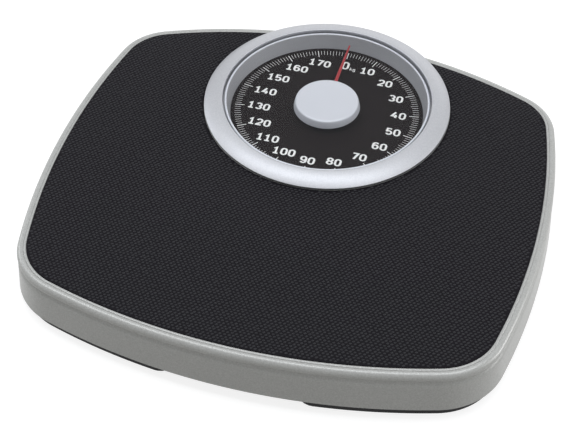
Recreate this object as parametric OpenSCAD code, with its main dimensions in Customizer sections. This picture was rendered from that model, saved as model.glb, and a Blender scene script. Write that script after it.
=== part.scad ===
// Mechanical bathroom scale: a steel platform with a grained mat and a large round dial at the back.
// Four levers carry the load to a spring under the dial, and a crank, rack and pinion turn the needle.
// Frame: origin on the floor under the middle of the scale, +Z up, -Y towards the person who stands on it.
// The rest pose is the empty scale, with the needle at zero.

/* [Platform] */
// Overall width, across the foot of the skirt
platform_w = 395; // [375:1:415]
// Overall depth, from the front skirt to the back of the dial bezel
platform_d = 373; // [360:1:386]
// Radius of the bowed front edge of the mat
front_r = 495; // [440:5:560]
// Radius of the bowed side edges of the mat
side_r = 550; // [480:5:640]
// Radius of the bowed rear edge of the mat
rear_r = 385; // [350:5:430]
// How far the widest point of the sides lies in front of the dial axis
waist_set = 94; // [84:1:104]
// Corner radius of the mat at the front
front_corner_r = 46; // [40:1:52]
// Corner radius of the mat at the rear
rear_corner_r = 39; // [33:1:45]
// How far the bezel stands out behind the middle of the mat's rear edge
bezel_overhang = 20.8; // [17:0.2:24]
// Radius of the hollow shoulders between the rear edge and the dial bulge
shoulder_r = 36; // [28:1:50]
// Height of the top of the mat above the floor
mat_top = 47.5; // [46.5:0.1:49]
// Thickness of the mat
mat_t = 1.2; // [0.8:0.1:1.6]
// Sheet thickness of the platform cover
cover_t = 1; // [0.8:0.1:1.2]
// How far the foot of the skirt stands out past the mat
rim_w = 9.1; // [8.7:0.1:9.6]
// Height of the skirt's lower edge above the floor
skirt_z = 10.7; // [9:0.1:12]
// Radius of the rolled bead round the top of the skirt
bead_r = 4.5; // [4:0.1:4.7]
// How far the bead's centre line lies outside the mat
bead_out = 2.9; // [2.6:0.1:3]
// How far the bead's centre line lies below the top of the mat
bead_drop = 5.6; // [5.4:0.1:6]
// Height of the small step that frames the mat
mat_step = 0.85; // [0.5:0.05:1.1]

/* [Dial] */
// Outer radius of the bezel
bezel_r = 100; // [98:0.5:102]
// Radius of the bezel's inner edge
bezel_in_r = 85; // [84.8:0.1:86]
// Height of the bezel's inner edge above the mat
bezel_rise = 6.9; // [6.4:0.1:8]
// Wall thickness of the bezel
bezel_t = 1.8; // [1.4:0.1:2.2]
// Radius of the crown of the bezel's section
crown_r = 18; // [15:0.5:24]
// Radius of the dial plate
dial_r = 78.9; // [78:0.1:79.2]
// How far the dial face lies below the mat
dial_depth = 8.7; // [8.2:0.1:9]
// Thickness of the dial plate
dial_t = 1.2; // [0.8:0.1:1.5]
// Inner radius of the well at its bright top lip
lip_r = 81.9; // [81.2:0.1:82.2]
// Height of the lip above the mat
lip_rise = 4.6; // [4.4:0.1:4.9]
// Radius of the lens
lens_r = 84.6; // [84:0.1:84.7]
// Thickness of the lens
lens_t = 1.3; // [1:0.1:1.5]

/* [Needle and hub cap] */
// Radius of the hub cap at its lower edge
cap_r = 27.1; // [24:0.1:29]
// How much the cap narrows towards its top
cap_draft = 1.2; // [0.4:0.1:2]
// Height of the cap's top above the mat
cap_rise = 3.5; // [3:0.1:3.6]
// Height of the cap
cap_h = 7.4; // [6.8:0.1:8]
// Wall thickness of the cap
cap_t = 1.5; // [1.2:0.1:2]
// Reach of the needle's tip from the spindle
needle_r = 77.4; // [74:0.1:77.8]
// Width of the needle at the hub
needle_w = 3.4; // [2.6:0.1:4]
// Width of the needle at its tip
needle_tip_w = 1.3; // [0.8:0.1:1.8]
// Thickness of the needle
needle_t = 0.6; // [0.4:0.1:0.7]
// Depth of the needle's centre below the mat
needle_drop = 1.5; // [1.2:0.1:1.8]

/* [Base] */
// Height of the tray's underside, which is the thickness of the feet
foot_h = 7; // [6:0.1:7]
// Sheet thickness of the tray
tray_t = 1.2; // [1:0.1:1.4]
// How far the tray's wall stands outside the mat's outline
tray_out = 3; // [2:0.1:4]
// Height of the tray's wall above the floor
tray_wall_z = 24; // [18:0.5:28]
// Width of the foot pads
foot_w = 26; // [20:1:30]
// How far the feet stand outside the mat's outline
foot_out = 4.5; // [3.5:0.1:5.5]
// Distance from the centre line to the inner end of a front foot
front_foot_x = 46; // [36:1:60]
// Distance from the centre line to the inner end of a rear foot
rear_foot_x = 100; // [92:1:110]

/* [Levers] */
// How far the platform sinks under full load
travel = 0.5; // [0.4:0.05:0.6]
// Arm from a lever's fulcrum pin to its load pin
knife_arm = 12.5; // [12.2:0.1:14]
// How far the levers' noses lie in front of the dial's axis
nose_set = 24.5; // [24:0.1:26]
// How far the front fulcrums lie inside the widest line of the mat
front_inset = 43.4; // [40:0.2:48]
// How far the rear fulcrums lie inside the widest line of the mat
rear_inset = 48.4; // [46:0.2:54]
// How far the front fulcrums lie behind the mat's front edge
front_set = 39.4; // [38:0.2:42]
// How far the rear fulcrums lie in front of the mat's rear edge
rear_set = 55.7; // [53:0.1:58]
// Thickness of the lever bars
bar_t = 3; // [2:0.1:3.4]
// Height of the lever bars
bar_h = 9; // [7:0.1:9.4]
// Radius of the lever pins
pin_r = 2; // [1.6:0.1:2.2]
// Height of the lever pins above the floor
pin_z = 24; // [23.6:0.1:24.4]
// Distance from the centre line to the long levers' noses
nose_x = 14; // [12.5:0.1:14.5]
// Thickness of the bracket and yoke sheet
bracket_t = 2; // [1.6:0.1:2.2]

/* [Mechanism] */
// Pitch radius of the pinion
pinion_r = 2; // [1.9:0.05:2.05]
// Number of teeth on the pinion
pinion_teeth = 10; // [10:1:12]
// Height of the gear teeth's face
rack_h = 2.5; // [2:0.1:2.8]
// Radius of the spindle
spindle_r = 1.5; // [1.2:0.05:1.55]
// Half of the bell crank's swing, in degrees
crank_half = 19.0986; // [18:0.1:20]
// Height of the crank's axis above the tray floor
crank_rise = 6.8; // [6.6:0.1:7]
// Wire thickness of the main spring
main_wire = 1.8; // [1.4:0.1:2]
// Mean radius of the main spring's coil
main_coil_r = 5.5; // [5:0.1:6]
// Wire thickness of the rack's return spring
light_wire = 0.6; // [0.4:0.05:0.7]
// Mean radius of the return spring's coil
light_coil_r = 1.8; // [1.5:0.1:2.2]
// Length of the return spring at rest
light_len = 24; // [22:0.5:27]
// Radius of the zero thumbwheel
wheel_r = 8.5; // [7.5:0.1:9]
// Width of the zero thumbwheel
wheel_w = 5; // [4:0.5:6]

/* [Clearances] */
// Radial clearance of pins that turn in a bore
run_fit = 0.05; // [0.03:0.01:0.08]
// Radial clearance of pins and rivets that are fixed
fix_fit = 0.02; // [0.01:0.01:0.04]
// Clearance between moving parts that bear on each other
seat_gap = 0.3; // [0.25:0.05:0.4]

/* [Hidden] */

steel_colour = "#9a9da1";
zinc_colour = "#b9bcbf";
cover_colour = "#b4b6b8";
mat_colour = "#26262b";
bezel_colour = "#c9cdd6";
dial_colour = "#2b2728";
brass_colour = "#c2a14d";
foot_colour = "#1b1b1d";
needle_colour = "#c23a44";

// Outline of the platform: bowed edges, corners tangent to them, and a bulge under the dial
dial_y = platform_d / 2 - bezel_r;
front_y = -platform_d / 2 + rim_w;
side_x = platform_w / 2 - rim_w;
rear_y = dial_y + bezel_r - bezel_overhang;
bulge_r = bezel_r - rim_w;
front_c = [0, front_y + front_r];
side_c = [side_x - side_r, dial_y - waist_set];
rear_c = [0, rear_y - rear_r];
dial_c = [0, dial_y];
front_corner_c = meet(front_c, front_r - front_corner_r, side_c, side_r - front_corner_r, -1);
rear_corner_c = meet(rear_c, rear_r - rear_corner_r, side_c, side_r - rear_corner_r, 1);
shoulder_c = meet(rear_c, rear_r + shoulder_r, dial_c, bulge_r + shoulder_r, 1);
angle_front = heading(front_c, front_corner_c);
angle_side_front = heading(side_c, front_corner_c);
angle_side_rear = heading(side_c, rear_corner_c);
angle_rear = heading(rear_c, rear_corner_c);
angle_shoulder = heading(rear_c, shoulder_c);
angle_bulge = heading(dial_c, shoulder_c);
// Each arc of the right half: centre, radius, start angle, end angle, +1 bowed out or -1 hollow
ARCS = [
    [front_c, front_r, -90, angle_front, 1],
    [front_corner_c, front_corner_r, angle_front, angle_side_front, 1],
    [side_c, side_r, angle_side_front, angle_side_rear, 1],
    [rear_corner_c, rear_corner_r, angle_side_rear, angle_rear, 1],
    [rear_c, rear_r, angle_rear, angle_shoulder, 1],
    [shoulder_c, shoulder_r, angle_shoulder + 180, angle_bulge + 180, -1],
    [dial_c, bulge_r, angle_bulge, 90, 1]
];
MAT_ARCS = [ARCS[0], ARCS[1], ARCS[2], ARCS[3], [rear_c, rear_r, angle_rear, 90, 1]];

// Heights
deck_z = mat_top - mat_t;
deck_under = deck_z - cover_t;
bead_z = mat_top - bead_drop;
tray_z = foot_h + tray_t;
dial_z = mat_top - dial_depth;
dial_under = dial_z - dial_t;
lip_z = mat_top + lip_rise;
bezel_z = mat_top + bezel_rise;
cap_z = mat_top + cap_rise;
cap_floor = cap_z - cap_h;
needle_z = mat_top - needle_drop;
bar_z = pin_z - bar_h / 2;

// Levers: they swing by lever_swing radians, and the nose sinks by nose_drop. The short lever
// rests on the long one half-way between the fulcrums, so both have the same arm there.
fulcrum_front_y = front_y + front_set;
fulcrum_rear_y = rear_y - rear_set;
nose_y = dial_y - nose_set;
link_y = (fulcrum_front_y + fulcrum_rear_y) / 2;
front_x = side_x - front_inset;
rear_x = side_x - rear_inset;
lever_swing = travel / knife_arm;
nose_drop = (nose_y - fulcrum_front_y) * lever_swing;
root_len = knife_arm + 13.5;
bar_tail = 7;
nose_len = 12;
long_a = [front_x, fulcrum_front_y + root_len];
long_b = [nose_x, nose_y - nose_len];
link_x = long_a.x + (long_b.x - long_a.x) * (link_y - long_a.y) / (long_b.y - long_a.y);
short_a = [rear_x, fulcrum_rear_y - root_len];
short_b = [link_x, link_y];
link_short = 9;
tongue_h = 3;
nib_w = 3;
bore_edge = 3.5;
pin_len = 26;
cheek_in = 9;
yoke_in = 6;
yoke_half = 4;
yoke_slack = 1.2;

// Nose plate and main spring
plate_t = 2;
plate_z = bar_z - seat_gap - plate_t;
plate_left = -21;
plate_right = 17;
plate_front = nose_y - 5;
plate_rear = nose_y + 3;
spring_y = nose_y - 1.5;
spring_peg_r = 3;
tab_w = 2;

// Crank: its long arms are set so that the ends of the swing give the whole drop and stroke
crank_z = tray_z + crank_rise;
crank_y = nose_y + 12;
crank_in = nose_drop / 2 / sin(crank_half);
rack_stroke = 2 * PI * pinion_r;
crank_out = rack_stroke / 2 / sin(crank_half);
crank_pin_r = 1.5;
crank_hub_r = 3.3;
crank_t = 2;
link_pin_r = 1;
arm_half = 2.2;
slot_gap = 0.25;
in_x = plate_right + tab_w + 1.5;
out_x = 6.6;
in_pin = [crank_y - crank_in * cos(crank_half), crank_z + crank_in * sin(crank_half)];
out_pin = [crank_y + crank_out * sin(crank_half), crank_z + crank_out * cos(crank_half)];
out_rise = crank_out * (1 - cos(crank_half));
in_shift = crank_in * (1 - cos(crank_half));

// Gears: involute pinion and straight rack, with the teeth thinned for backlash
module_size = 2 * pinion_r / pinion_teeth;
tooth_pitch = PI * module_size;
pressure = 20;
addendum = 0.62 * module_size;
pinion_addendum = 0.9 * module_size;
dedendum = 1.2 * module_size;
backlash = 0.14;
tooth_half = tooth_pitch / 4 - backlash / 2;
rack_z = 32.5;
rack_back = 4;
rack_front = out_pin.x - link_pin_r - 2;
rack_end = dial_y + rack_stroke + 4;
rack_tab_len = 2 * (link_pin_r + 2);
slot_top = out_pin.y + out_rise + link_pin_r + slot_gap;
slot_floor = out_pin.y - link_pin_r - slot_gap;

// Mechanism frame
frame_t = 2;
frame_x = 24;
frame_front = nose_y - 8;
frame_rear = dial_y + 14;
frame_top = 34;
bridge_floor = frame_top - frame_t;
bridge_front = spring_y - 5;
bridge_rear = spring_y + spring_peg_r;
bearing_z = 29;
bearing_t = 1.5;
bearing_front = dial_y - 3.5;
bush_r = 3;
bush_top = 31.5;
guide_x = pinion_r + dedendum + rack_back + seat_gap;
guide_front = dial_y + 2;
frame_flange = 8;
zero_x = -14;
zero_z = tray_z + 3.3;
zero_y = dial_y + 62;
zero_shaft_r = 1.5;
post_y = rack_end + light_len;
rivet_r = 1.5;
rivet_head_r = 2.6;
rivet_head_t = 1;
screw_r = 1.5;
screw_head_r = 2.8;
screw_head_t = 1.6;
spring_gap = 0.05;
lap = 0.02;
FRAME_RIVETS = [for (sx = [-1, 1], y = [frame_front + 8, frame_rear - 8])
    [sx * (frame_x + frame_t + frame_flange / 2), y]];
FULCRUMS = [
    [-front_x, fulcrum_front_y], [front_x, fulcrum_front_y],
    [-rear_x, fulcrum_rear_y], [rear_x, fulcrum_rear_y]
];
rivet_set = 8.7;
BRACKET_RIVETS = [for (f = FULCRUMS, s = [-1, 1]) f + [0, s * rivet_set]];
zero_foot = 5;
zero_half = zero_shaft_r + 2 * rivet_head_r + seat_gap + 1;
ZERO_RIVETS = [for (s = [-1, 1]) [zero_x + s * (zero_shaft_r + rivet_head_r + seat_gap), zero_y - 10]];
foot_mid = foot_out - foot_w / 2;
FOOT_SCREWS = [for (sx = [-1, 1]) each [
    on_arc(ARCS[0], -90 + asin((front_foot_x + foot_w) / front_r), foot_mid, sx),
    on_arc(ARCS[1], (angle_front + angle_side_front) / 2, foot_mid, sx),
    on_arc(ARCS[3], (angle_side_rear + angle_rear) / 2, foot_mid, sx),
    on_arc(ARCS[4], 90 - asin((rear_foot_x + foot_w / 2) / rear_r), foot_mid, sx)
]];
well_flange_r = bezel_in_r + 8;
well_wall = 1.5;
flange_t = 2;
well_screw_r = bezel_in_r + 4.2;
deck_hole_r = lip_r + 2.1;
bezel_foot_r = bezel_r - 2.8;
bezel_foot_t = 2;
mat_hole_r = bezel_r + seat_gap;
dial_hole_r = 6;
boss_r = 4;

// The point where two circles meet, on the side of +x; way picks the upper (1) or lower (-1) one
function meet(c1, r1, c2, r2, way) =
    let (d = c2 - c1, len = norm(d), along = (len * len + r1 * r1 - r2 * r2) / (2 * len),
         off = sqrt(r1 * r1 - along * along), u = d / len,
         p = c1 + along * u + off * [-u.y, u.x], q = c1 + along * u - off * [-u.y, u.x])
    abs(p.x - q.x) > abs(p.y - q.y) ? (p.x > q.x ? p : q) : (way * (p.y - q.y) > 0 ? p : q);
function heading(from, to) = atan2(to.y - from.y, to.x - from.x);
function polar(c, r, a) = [c.x + r * cos(a), c.y + r * sin(a)];
function on_arc(arc, a, out, side) =
    let (p = polar(arc[0], arc[1] + arc[4] * out, a)) [side * p.x, p.y];
function arc_points(c, r, a0, a1, steps) = [for (i = [0:steps]) polar(c, r, a0 + (a1 - a0) * i / steps)];
function tail(list) = [for (i = [1:len(list) - 1]) list[i]];
function half_outline(arcs, out) = [for (i = [0:len(arcs) - 1])
    let (arc = arcs[i], steps = ceil(abs(arc[3] - arc[2]) / (arc[1] > 200 ? 1.5 : 7)),
         points = arc_points(arc[0], arc[1] + arc[4] * out, arc[2], arc[3], steps))
    each i == 0 ? points : tail(points)];
// The whole outline, out millimetres outside the mat's edge
function outline(arcs, out) =
    let (half = half_outline(arcs, out), last = len(half) - 1)
    concat(half, [for (i = [last - 1:-1:1]) [-half[i].x, half[i].y]]);
// The outline with no point where two arcs meet, for a floor that lies inside a swept rim
function floor_outline(out) =
    let (half = [for (arc = ARCS) let (steps = ceil(abs(arc[3] - arc[2]) / (arc[1] > 200 ? 1.5 : 7)))
             for (i = [0:steps - 1])
                 polar(arc[0], arc[1] + arc[4] * out, arc[2] + (arc[3] - arc[2]) * (i + 0.5) / steps)])
    concat(half, [for (i = [len(half) - 1:-1:0]) [-half[i].x, half[i].y]]);
// Points of an arc of radius r from p to q, bulging upwards
function bow(p, q, r, steps) =
    let (d = q - p, len = norm(d), n = [-d.y, d.x] / len * sign(d.x),
         c = (p + q) / 2 - n * sqrt(r * r - len * len / 4), a0 = heading(c, p), a1 = heading(c, q))
    [for (i = [0:steps]) polar(c, r, a0 + (a1 - a0) * i / steps)];
function involute(base, t) = base * [cos(t) + t * PI / 180 * sin(t), sin(t) - t * PI / 180 * cos(t)];

// A closed sheet section carried round the whole outline. The corners and shoulders take a
// section that is finer by lap on every side, and reach a little way into the bowed edges.
module sweep(section, lapped) {
    sweep_arc(ARCS[0], section, -180 - angle_front, angle_front);
    sweep_arc(ARCS[6], section, 180 - angle_bulge, angle_bulge);
    for (side = [0, 1]) mirror([side, 0, 0]) {
        for (arc = [ARCS[2], ARCS[4]]) sweep_arc(arc, section, arc[2], arc[3]);
        for (arc = [ARCS[1], ARCS[3], ARCS[5]]) {
            reach = 0.3 / arc[1] * 180 / PI * sign(arc[3] - arc[2]);
            sweep_arc(arc, lapped, arc[2] - reach, arc[3] + reach);
        }
    }
}

module sweep_arc(arc, section, a0, a1) {
    translate([arc[0].x, arc[0].y, 0]) rotate(min(a0, a1))
        rotate_extrude(angle = abs(a1 - a0), $fn = 180)
            polygon([for (p = section) [arc[1] + arc[4] * p.x, p.y]]);
}

// A plate between two heights
module plate(points, z0, z1) {
    translate([0, 0, z0]) linear_extrude(z1 - z0) polygon(points);
}

module ring(section) {
    translate([0, dial_y, 0]) rotate_extrude($fn = 180) polygon(section);
}

module rod(r, z0, z1) {
    translate([0, 0, z0]) cylinder(r = r, h = z1 - z0, $fn = 64);
}

module rod_x(r, x0, x1) {
    translate([x0, 0, 0]) rotate([0, 90, 0]) cylinder(r = r, h = x1 - x0, $fn = 64);
}

module rod_y(r, y0, y1) {
    translate([0, y0, 0]) rotate([-90, 0, 0]) cylinder(r = r, h = y1 - y0, $fn = 64);
}

module block(low, high) {
    translate(low) cube(high - low);
}

// A bar on edge along a row of points, with a round knuckle at each
module bars(points, z0, h, t) {
    for (i = [0:len(points) - 2]) {
        d = points[i + 1] - points[i];
        translate([points[i].x, points[i].y, z0]) rotate(atan2(d.y, d.x))
            translate([0, -t / 2, 0]) cube([norm(d), t, h]);
    }
    for (p = points) translate([p.x, p.y, 0]) rod(t / 2 + 0.2, z0, z0 + h);
}

// A round wire along points worked out by its caller: rings of sides points round each one
module wire(path, r, sides) {
    last = len(path) - 1;
    rings = [for (i = [0:last])
        let (ahead = path[min(i + 1, last)] - path[max(i - 1, 0)], t = ahead / norm(ahead),
             side = cross(t, abs(t.z) > 0.7 ? [1, 0, 0] : [0, 0, 1]), u = side / norm(side),
             v = cross(t, u))
        for (k = [0:sides - 1]) path[i] + r * (cos(360 * k / sides) * u + sin(360 * k / sides) * v)];
    walls = [for (i = [0:last - 1], k = [0:sides - 1])
        let (a = i * sides + k, b = i * sides + (k + 1) % sides)
        each [[a, a + sides, b + sides], [a, b + sides, b]]];
    ends = [[for (k = [0:sides - 1]) k], [for (k = [sides - 1:-1:0]) last * sides + k]];
    polyhedron(points = rings, faces = concat(walls, ends), convexity = 8);
}

// A coil along +Z from z0 to z1
function coil(r, z0, z1, turns, steps) = [for (i = [0:turns * steps])
    let (a = 360 * i / steps) [r * cos(a), r * sin(a), z0 + (z1 - z0) * i / (turns * steps)]];

/* Base */

function tray_section(e) = [
    [-4, foot_h + e + 2 * lap], [tray_out - 2 - e, foot_h + e], [tray_out - e, foot_h + 2 + e],
    [tray_out - e, tray_wall_z - e], [tray_out - tray_t + e, tray_wall_z - e],
    [tray_out - tray_t + e, foot_h + 2.4 - e], [tray_out - 2.6 + e, tray_z - e],
    [-4, tray_z - e - 2 * lap]
];

// The pressed tray: a floor with a turned-up wall that follows the platform's outline
module base_tray() color(steel_colour) difference() {
    union() {
        sweep(tray_section(0), tray_section(lap));
        plate(floor_outline(-3), foot_h, tray_z);
    }
    for (p = concat(BRACKET_RIVETS, FRAME_RIVETS, ZERO_RIVETS))
        translate([p.x, p.y, 0]) rod(rivet_r + fix_fit, foot_h - 1, tray_z + 1);
    for (p = FOOT_SCREWS)
        translate([p.x, p.y, 0]) rod(screw_r + fix_fit, foot_h - 1, tray_z + 1);
    block([zero_x - wheel_r - 1, zero_y - 1, foot_h - 1],
          [zero_x + wheel_r + 1, zero_y + wheel_w + 1, tray_z + 1]);
}

// A foot pad under a corner: a band along one edge and round the corner, with round ends
module foot(corner, edge, end_angle) color(foot_colour) difference() {
    union() {
        foot_layer(corner, edge, end_angle, 0, 1);
        foot_layer(corner, edge, end_angle, 1, foot_h);
    }
    for (p = FOOT_SCREWS) translate([p.x, p.y, 0]) {
        rod(screw_r + fix_fit, -1, foot_h + 1);
        rod(screw_head_r + seat_gap, -1, screw_head_t + 1);
    }
}

// One layer of a foot pad; the lowest one is set in by a millimetre all round
module foot_layer(corner, edge, end_angle, z0, z1) {
    out = foot_out - (z0 == 0 ? 1 : 0);
    in = foot_out - foot_w + (z0 == 0 ? 1 : 0);
    r = (out - in) / 2;
    way = edge[2] < -80 ? 1 : -1;
    join = way == 1 ? edge[3] : edge[2];
    far = way == 1 ? corner[3] : corner[2];
    translate([0, 0, z0]) linear_extrude(z1 - z0) polygon(concat(
        arc_points(edge[0], edge[1] + out, end_angle, join, 16),
        tail(arc_points(corner[0], corner[1] + out, join, far, 16)),
        tail(arc_points(polar(corner[0], corner[1] + foot_mid, far), r, far, far + way * 180, 12)),
        tail(arc_points(corner[0], corner[1] + in, far, join, 16)),
        tail(arc_points(edge[0], edge[1] + in, join, end_angle, 16)),
        tail(arc_points(polar(edge[0], edge[1] + foot_mid, end_angle), r,
                        end_angle + way * 180, end_angle + way * 348, 11))
    ));
}

module front_foot() foot(ARCS[1], ARCS[0], -90 + asin((front_foot_x + foot_w / 2) / front_r));
module rear_foot() foot(ARCS[3], ARCS[4], 90 - asin(rear_foot_x / rear_r));
module foot_front_right() front_foot();
module foot_front_left() mirror([1, 0, 0]) front_foot();
module foot_rear_right() rear_foot();
module foot_rear_left() mirror([1, 0, 0]) rear_foot();

// Pan-head screws that hold the feet, with their heads sunk in the pads
module foot_screws() color(zinc_colour) for (p = FOOT_SCREWS) translate([p.x, p.y, 0]) {
    rod(screw_r, screw_head_t + 1 - screw_head_t / 2, tray_z + 1.5);
    rod(screw_head_r, 1, screw_head_t + 1);
}

// A U-shaped bracket on the tray that holds a lever's fulcrum pin
module fulcrum_bracket(at) color(zinc_colour) translate([at.x, at.y, 0]) difference() {
    union() {
        block([-cheek_in - bracket_t, -rivet_set - 3.3, tray_z],
              [cheek_in + bracket_t, rivet_set + 3.3, tray_z + bracket_t]);
        for (side = [0, 1]) mirror([side, 0, 0]) {
            block([cheek_in, -5, tray_z], [cheek_in + bracket_t, 5, pin_z]);
            translate([0, 0, pin_z]) rod_x(5, cheek_in, cheek_in + bracket_t);
        }
    }
    translate([0, 0, pin_z]) rod_x(pin_r + run_fit, -20, 20);
    for (s = [-1, 1]) translate([0, s * rivet_set, 0])
        rod(rivet_r + fix_fit, tray_z - 1, tray_z + bracket_t + 1);
}

module fulcrum_bracket_front_left() fulcrum_bracket(FULCRUMS[0]);
module fulcrum_bracket_front_right() fulcrum_bracket(FULCRUMS[1]);
module fulcrum_bracket_rear_left() fulcrum_bracket(FULCRUMS[2]);
module fulcrum_bracket_rear_right() fulcrum_bracket(FULCRUMS[3]);

// Rivets that hold the brackets and the mechanism frame, flush under the tray
module bracket_rivets() color(steel_colour)
    for (p = concat(BRACKET_RIVETS, FRAME_RIVETS, ZERO_RIVETS)) translate([p.x, p.y, 0]) {
        rod(rivet_r, foot_h, tray_z + bracket_t + 0.1);
        rod(rivet_head_r, tray_z + bracket_t, tray_z + bracket_t + rivet_head_t);
    }

// The mechanism frame: two cheeks, a bridge for the main spring and a bridge for the spindle
module mechanism_frame() color(zinc_colour) difference() {
    union() {
        for (side = [0, 1]) mirror([side, 0, 0]) {
            block([frame_x, frame_front, tray_z], [frame_x + frame_t, frame_rear, frame_top]);
            block([frame_x, frame_front, tray_z],
                  [frame_x + frame_t + frame_flange, frame_rear, tray_z + bracket_t]);
        }
        block([-frame_x - 1, bridge_front, bridge_floor], [frame_x + 1, bridge_rear, frame_top]);
        translate([0, spring_y, 0]) rod(spring_peg_r, bridge_floor - 2.5, bridge_floor + 1);
        block([-frame_x - 1, bearing_front, bearing_z],
              [frame_x + 1, frame_rear, bearing_z + bearing_t]);
        block([-frame_x - 1, frame_rear - 4, tray_z], [frame_x + 1, frame_rear, zero_z + 5]);
    }
    translate([0, crank_y, crank_z]) rod_x(crank_pin_r + fix_fit, -frame_x - 9, frame_x + 9);
    translate([0, dial_y, 0]) rod(bush_r + fix_fit, bearing_z - 1, bearing_z + bearing_t + 1);
    translate([zero_x, 0, zero_z]) rod_y(zero_shaft_r + run_fit, frame_rear - 5, frame_rear + 1);
    for (p = FRAME_RIVETS) translate([p.x, p.y, 0])
        rod(rivet_r + fix_fit, tray_z - 1, tray_z + bracket_t + 1);
}

// The fixed pin that the bell crank turns on
module crank_pin() color(steel_colour) translate([0, crank_y, crank_z])
    rod_x(crank_pin_r, -frame_x - frame_t - 1, frame_x + frame_t + 1);

// The bush in the frame that guides the spindle
module spindle_bush_upper() color(brass_colour) translate([0, dial_y, 0]) difference() {
    union() {
        rod(bush_r, bearing_z - 1, bush_top);
        rod(bush_r + 1, bearing_z - 1.5, bearing_z);
    }
    rod(spindle_r + run_fit, bearing_z - 3, bush_top + 1);
}

// The bush on the tray that the spindle stands in
module spindle_bush_lower() color(brass_colour) translate([0, dial_y, 0]) difference() {
    union() {
        rod(5, tray_z, tray_z + 1.5);
        rod(bush_r, tray_z, tray_z + 5);
    }
    rod(spindle_r + run_fit, tray_z + 0.7, tray_z + 6);
}

// The channel that carries the rack beside the pinion
module rack_guide() color(brass_colour) {
    block([pinion_r + 0.8, guide_front, bearing_z + bearing_t],
          [guide_x + 1.7, frame_rear, rack_z - 0.15]);
    block([guide_x, guide_front, bearing_z + bearing_t], [guide_x + 1.7, frame_rear, rack_z + rack_h]);
}

// The post that anchors the rack's return spring
module rack_spring_post() color(steel_colour)
    translate([pinion_r + dedendum + rack_back / 2, post_y + 1.5, 0]) {
        rod(1.5, tray_z, rack_z + rack_h + 1);
        rod(4, tray_z, tray_z + 1.5);
    }

// The light extension spring that draws the rack back
module rack_spring() color(steel_colour)
    translate([pinion_r + dedendum + rack_back / 2, rack_end + spring_gap, rack_z + rack_h / 2])
        rotate([-90, 0, 0])
            wire(coil(light_coil_r, light_wire / 2, post_y - rack_end - 0.1 - light_wire / 2, 12, 10),
                 light_wire / 2, 6);

// The main spring that the whole load hangs from
module main_spring() color(steel_colour) translate([0, spring_y, 0])
    wire(coil(main_coil_r, plate_z + plate_t + main_wire / 2 + spring_gap,
              bridge_floor - main_wire / 2 - spring_gap, 5, 20), main_wire / 2, 8);

// The bracket that holds the zero screw near its wheel
module zero_bracket() color(zinc_colour) difference() {
    union() {
        block([zero_x - zero_half, zero_y - zero_foot, tray_z],
              [zero_x + zero_half, zero_y - zero_foot + bracket_t, zero_z + 5]);
        block([zero_x - zero_half, zero_y - 14, tray_z],
              [zero_x + zero_half, zero_y - zero_foot + bracket_t, tray_z + bracket_t]);
    }
    translate([zero_x, 0, zero_z]) rod_y(zero_shaft_r + run_fit, zero_y - 20, zero_y);
    for (p = ZERO_RIVETS) translate([p.x, p.y, 0])
        rod(rivet_r + fix_fit, tray_z - 1, tray_z + bracket_t + 1);
}

// The knurled wheel that sets the needle to zero, reached from below
module zero_wheel() color(foot_colour) translate([zero_x, zero_y, zero_z]) difference() {
    rotate([-90, 0, 0]) linear_extrude(wheel_w) polygon([for (i = [0:71])
        polar([0, 0], wheel_r - (i % 2) * 0.5, i * 5)]);
    rod_y(zero_shaft_r + fix_fit, -1, wheel_w + 1);
}

module zero_screw() color(steel_colour) translate([zero_x, 0, zero_z])
    rod_y(zero_shaft_r, frame_rear - 7, zero_y + wheel_w);

/* Levers */

// A long lever: straight root at the fulcrum, slanting arm, straight nose under the spring bridge
module long_lever(side) color(steel_colour) mirror([side, 0, 0]) difference() {
    union() {
        bars([[front_x, fulcrum_front_y - bar_tail], long_a, long_b, [nose_x, nose_y]],
             bar_z, bar_h, bar_t);
        for (y = [fulcrum_front_y, fulcrum_front_y + knife_arm]) translate([front_x, y, pin_z])
            rod_x(bore_edge, -bar_t / 2, bar_t / 2);
    }
    for (y = [fulcrum_front_y, fulcrum_front_y + knife_arm]) translate([front_x, y, pin_z])
        rod_x(pin_r + fix_fit, -bar_t, bar_t);
}

module long_lever_right() long_lever(0);
module long_lever_left() long_lever(1);

// A short lever: its tongue rests on the long lever through a small nib
module short_lever(side) color(steel_colour) mirror([side, 0, 0]) {
    d = short_b - short_a;
    reach = norm(d);
    stop = short_a + d * (1 - link_short / reach);
    difference() {
        union() {
            bars([[rear_x, fulcrum_rear_y + bar_tail], short_a, stop], bar_z, bar_h, bar_t);
        }
        for (y = [fulcrum_rear_y, fulcrum_rear_y - knife_arm]) translate([rear_x, y, pin_z])
            rod_x(pin_r + fix_fit, -bar_t, bar_t);
    }
    bars([stop - d / reach * 3, short_b], bar_z + bar_h + 1.2, tongue_h, bar_t + 2);
    bars([stop - d / reach * 1, stop - d / reach * 4], bar_z + bar_h - 1, 3, bar_t - 0.5);
    translate([link_x, link_y, 0]) block([-nib_w, -nib_w / 2, bar_z + bar_h + seat_gap],
                                         [nib_w, nib_w / 2, bar_z + bar_h + 2]);
}

module short_lever_right() short_lever(0);
module short_lever_left() short_lever(1);

// A lever's fulcrum pin and load pin
module lever_pins(x, y_fulcrum, y_load) color(zinc_colour) translate([x, 0, pin_z]) {
    translate([0, y_fulcrum, 0]) rod_x(pin_r, -pin_len / 2, pin_len / 2);
    translate([0, y_load, 0]) rod_x(pin_r, -pin_len / 2 + 2, pin_len / 2 - 2);
}

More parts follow.
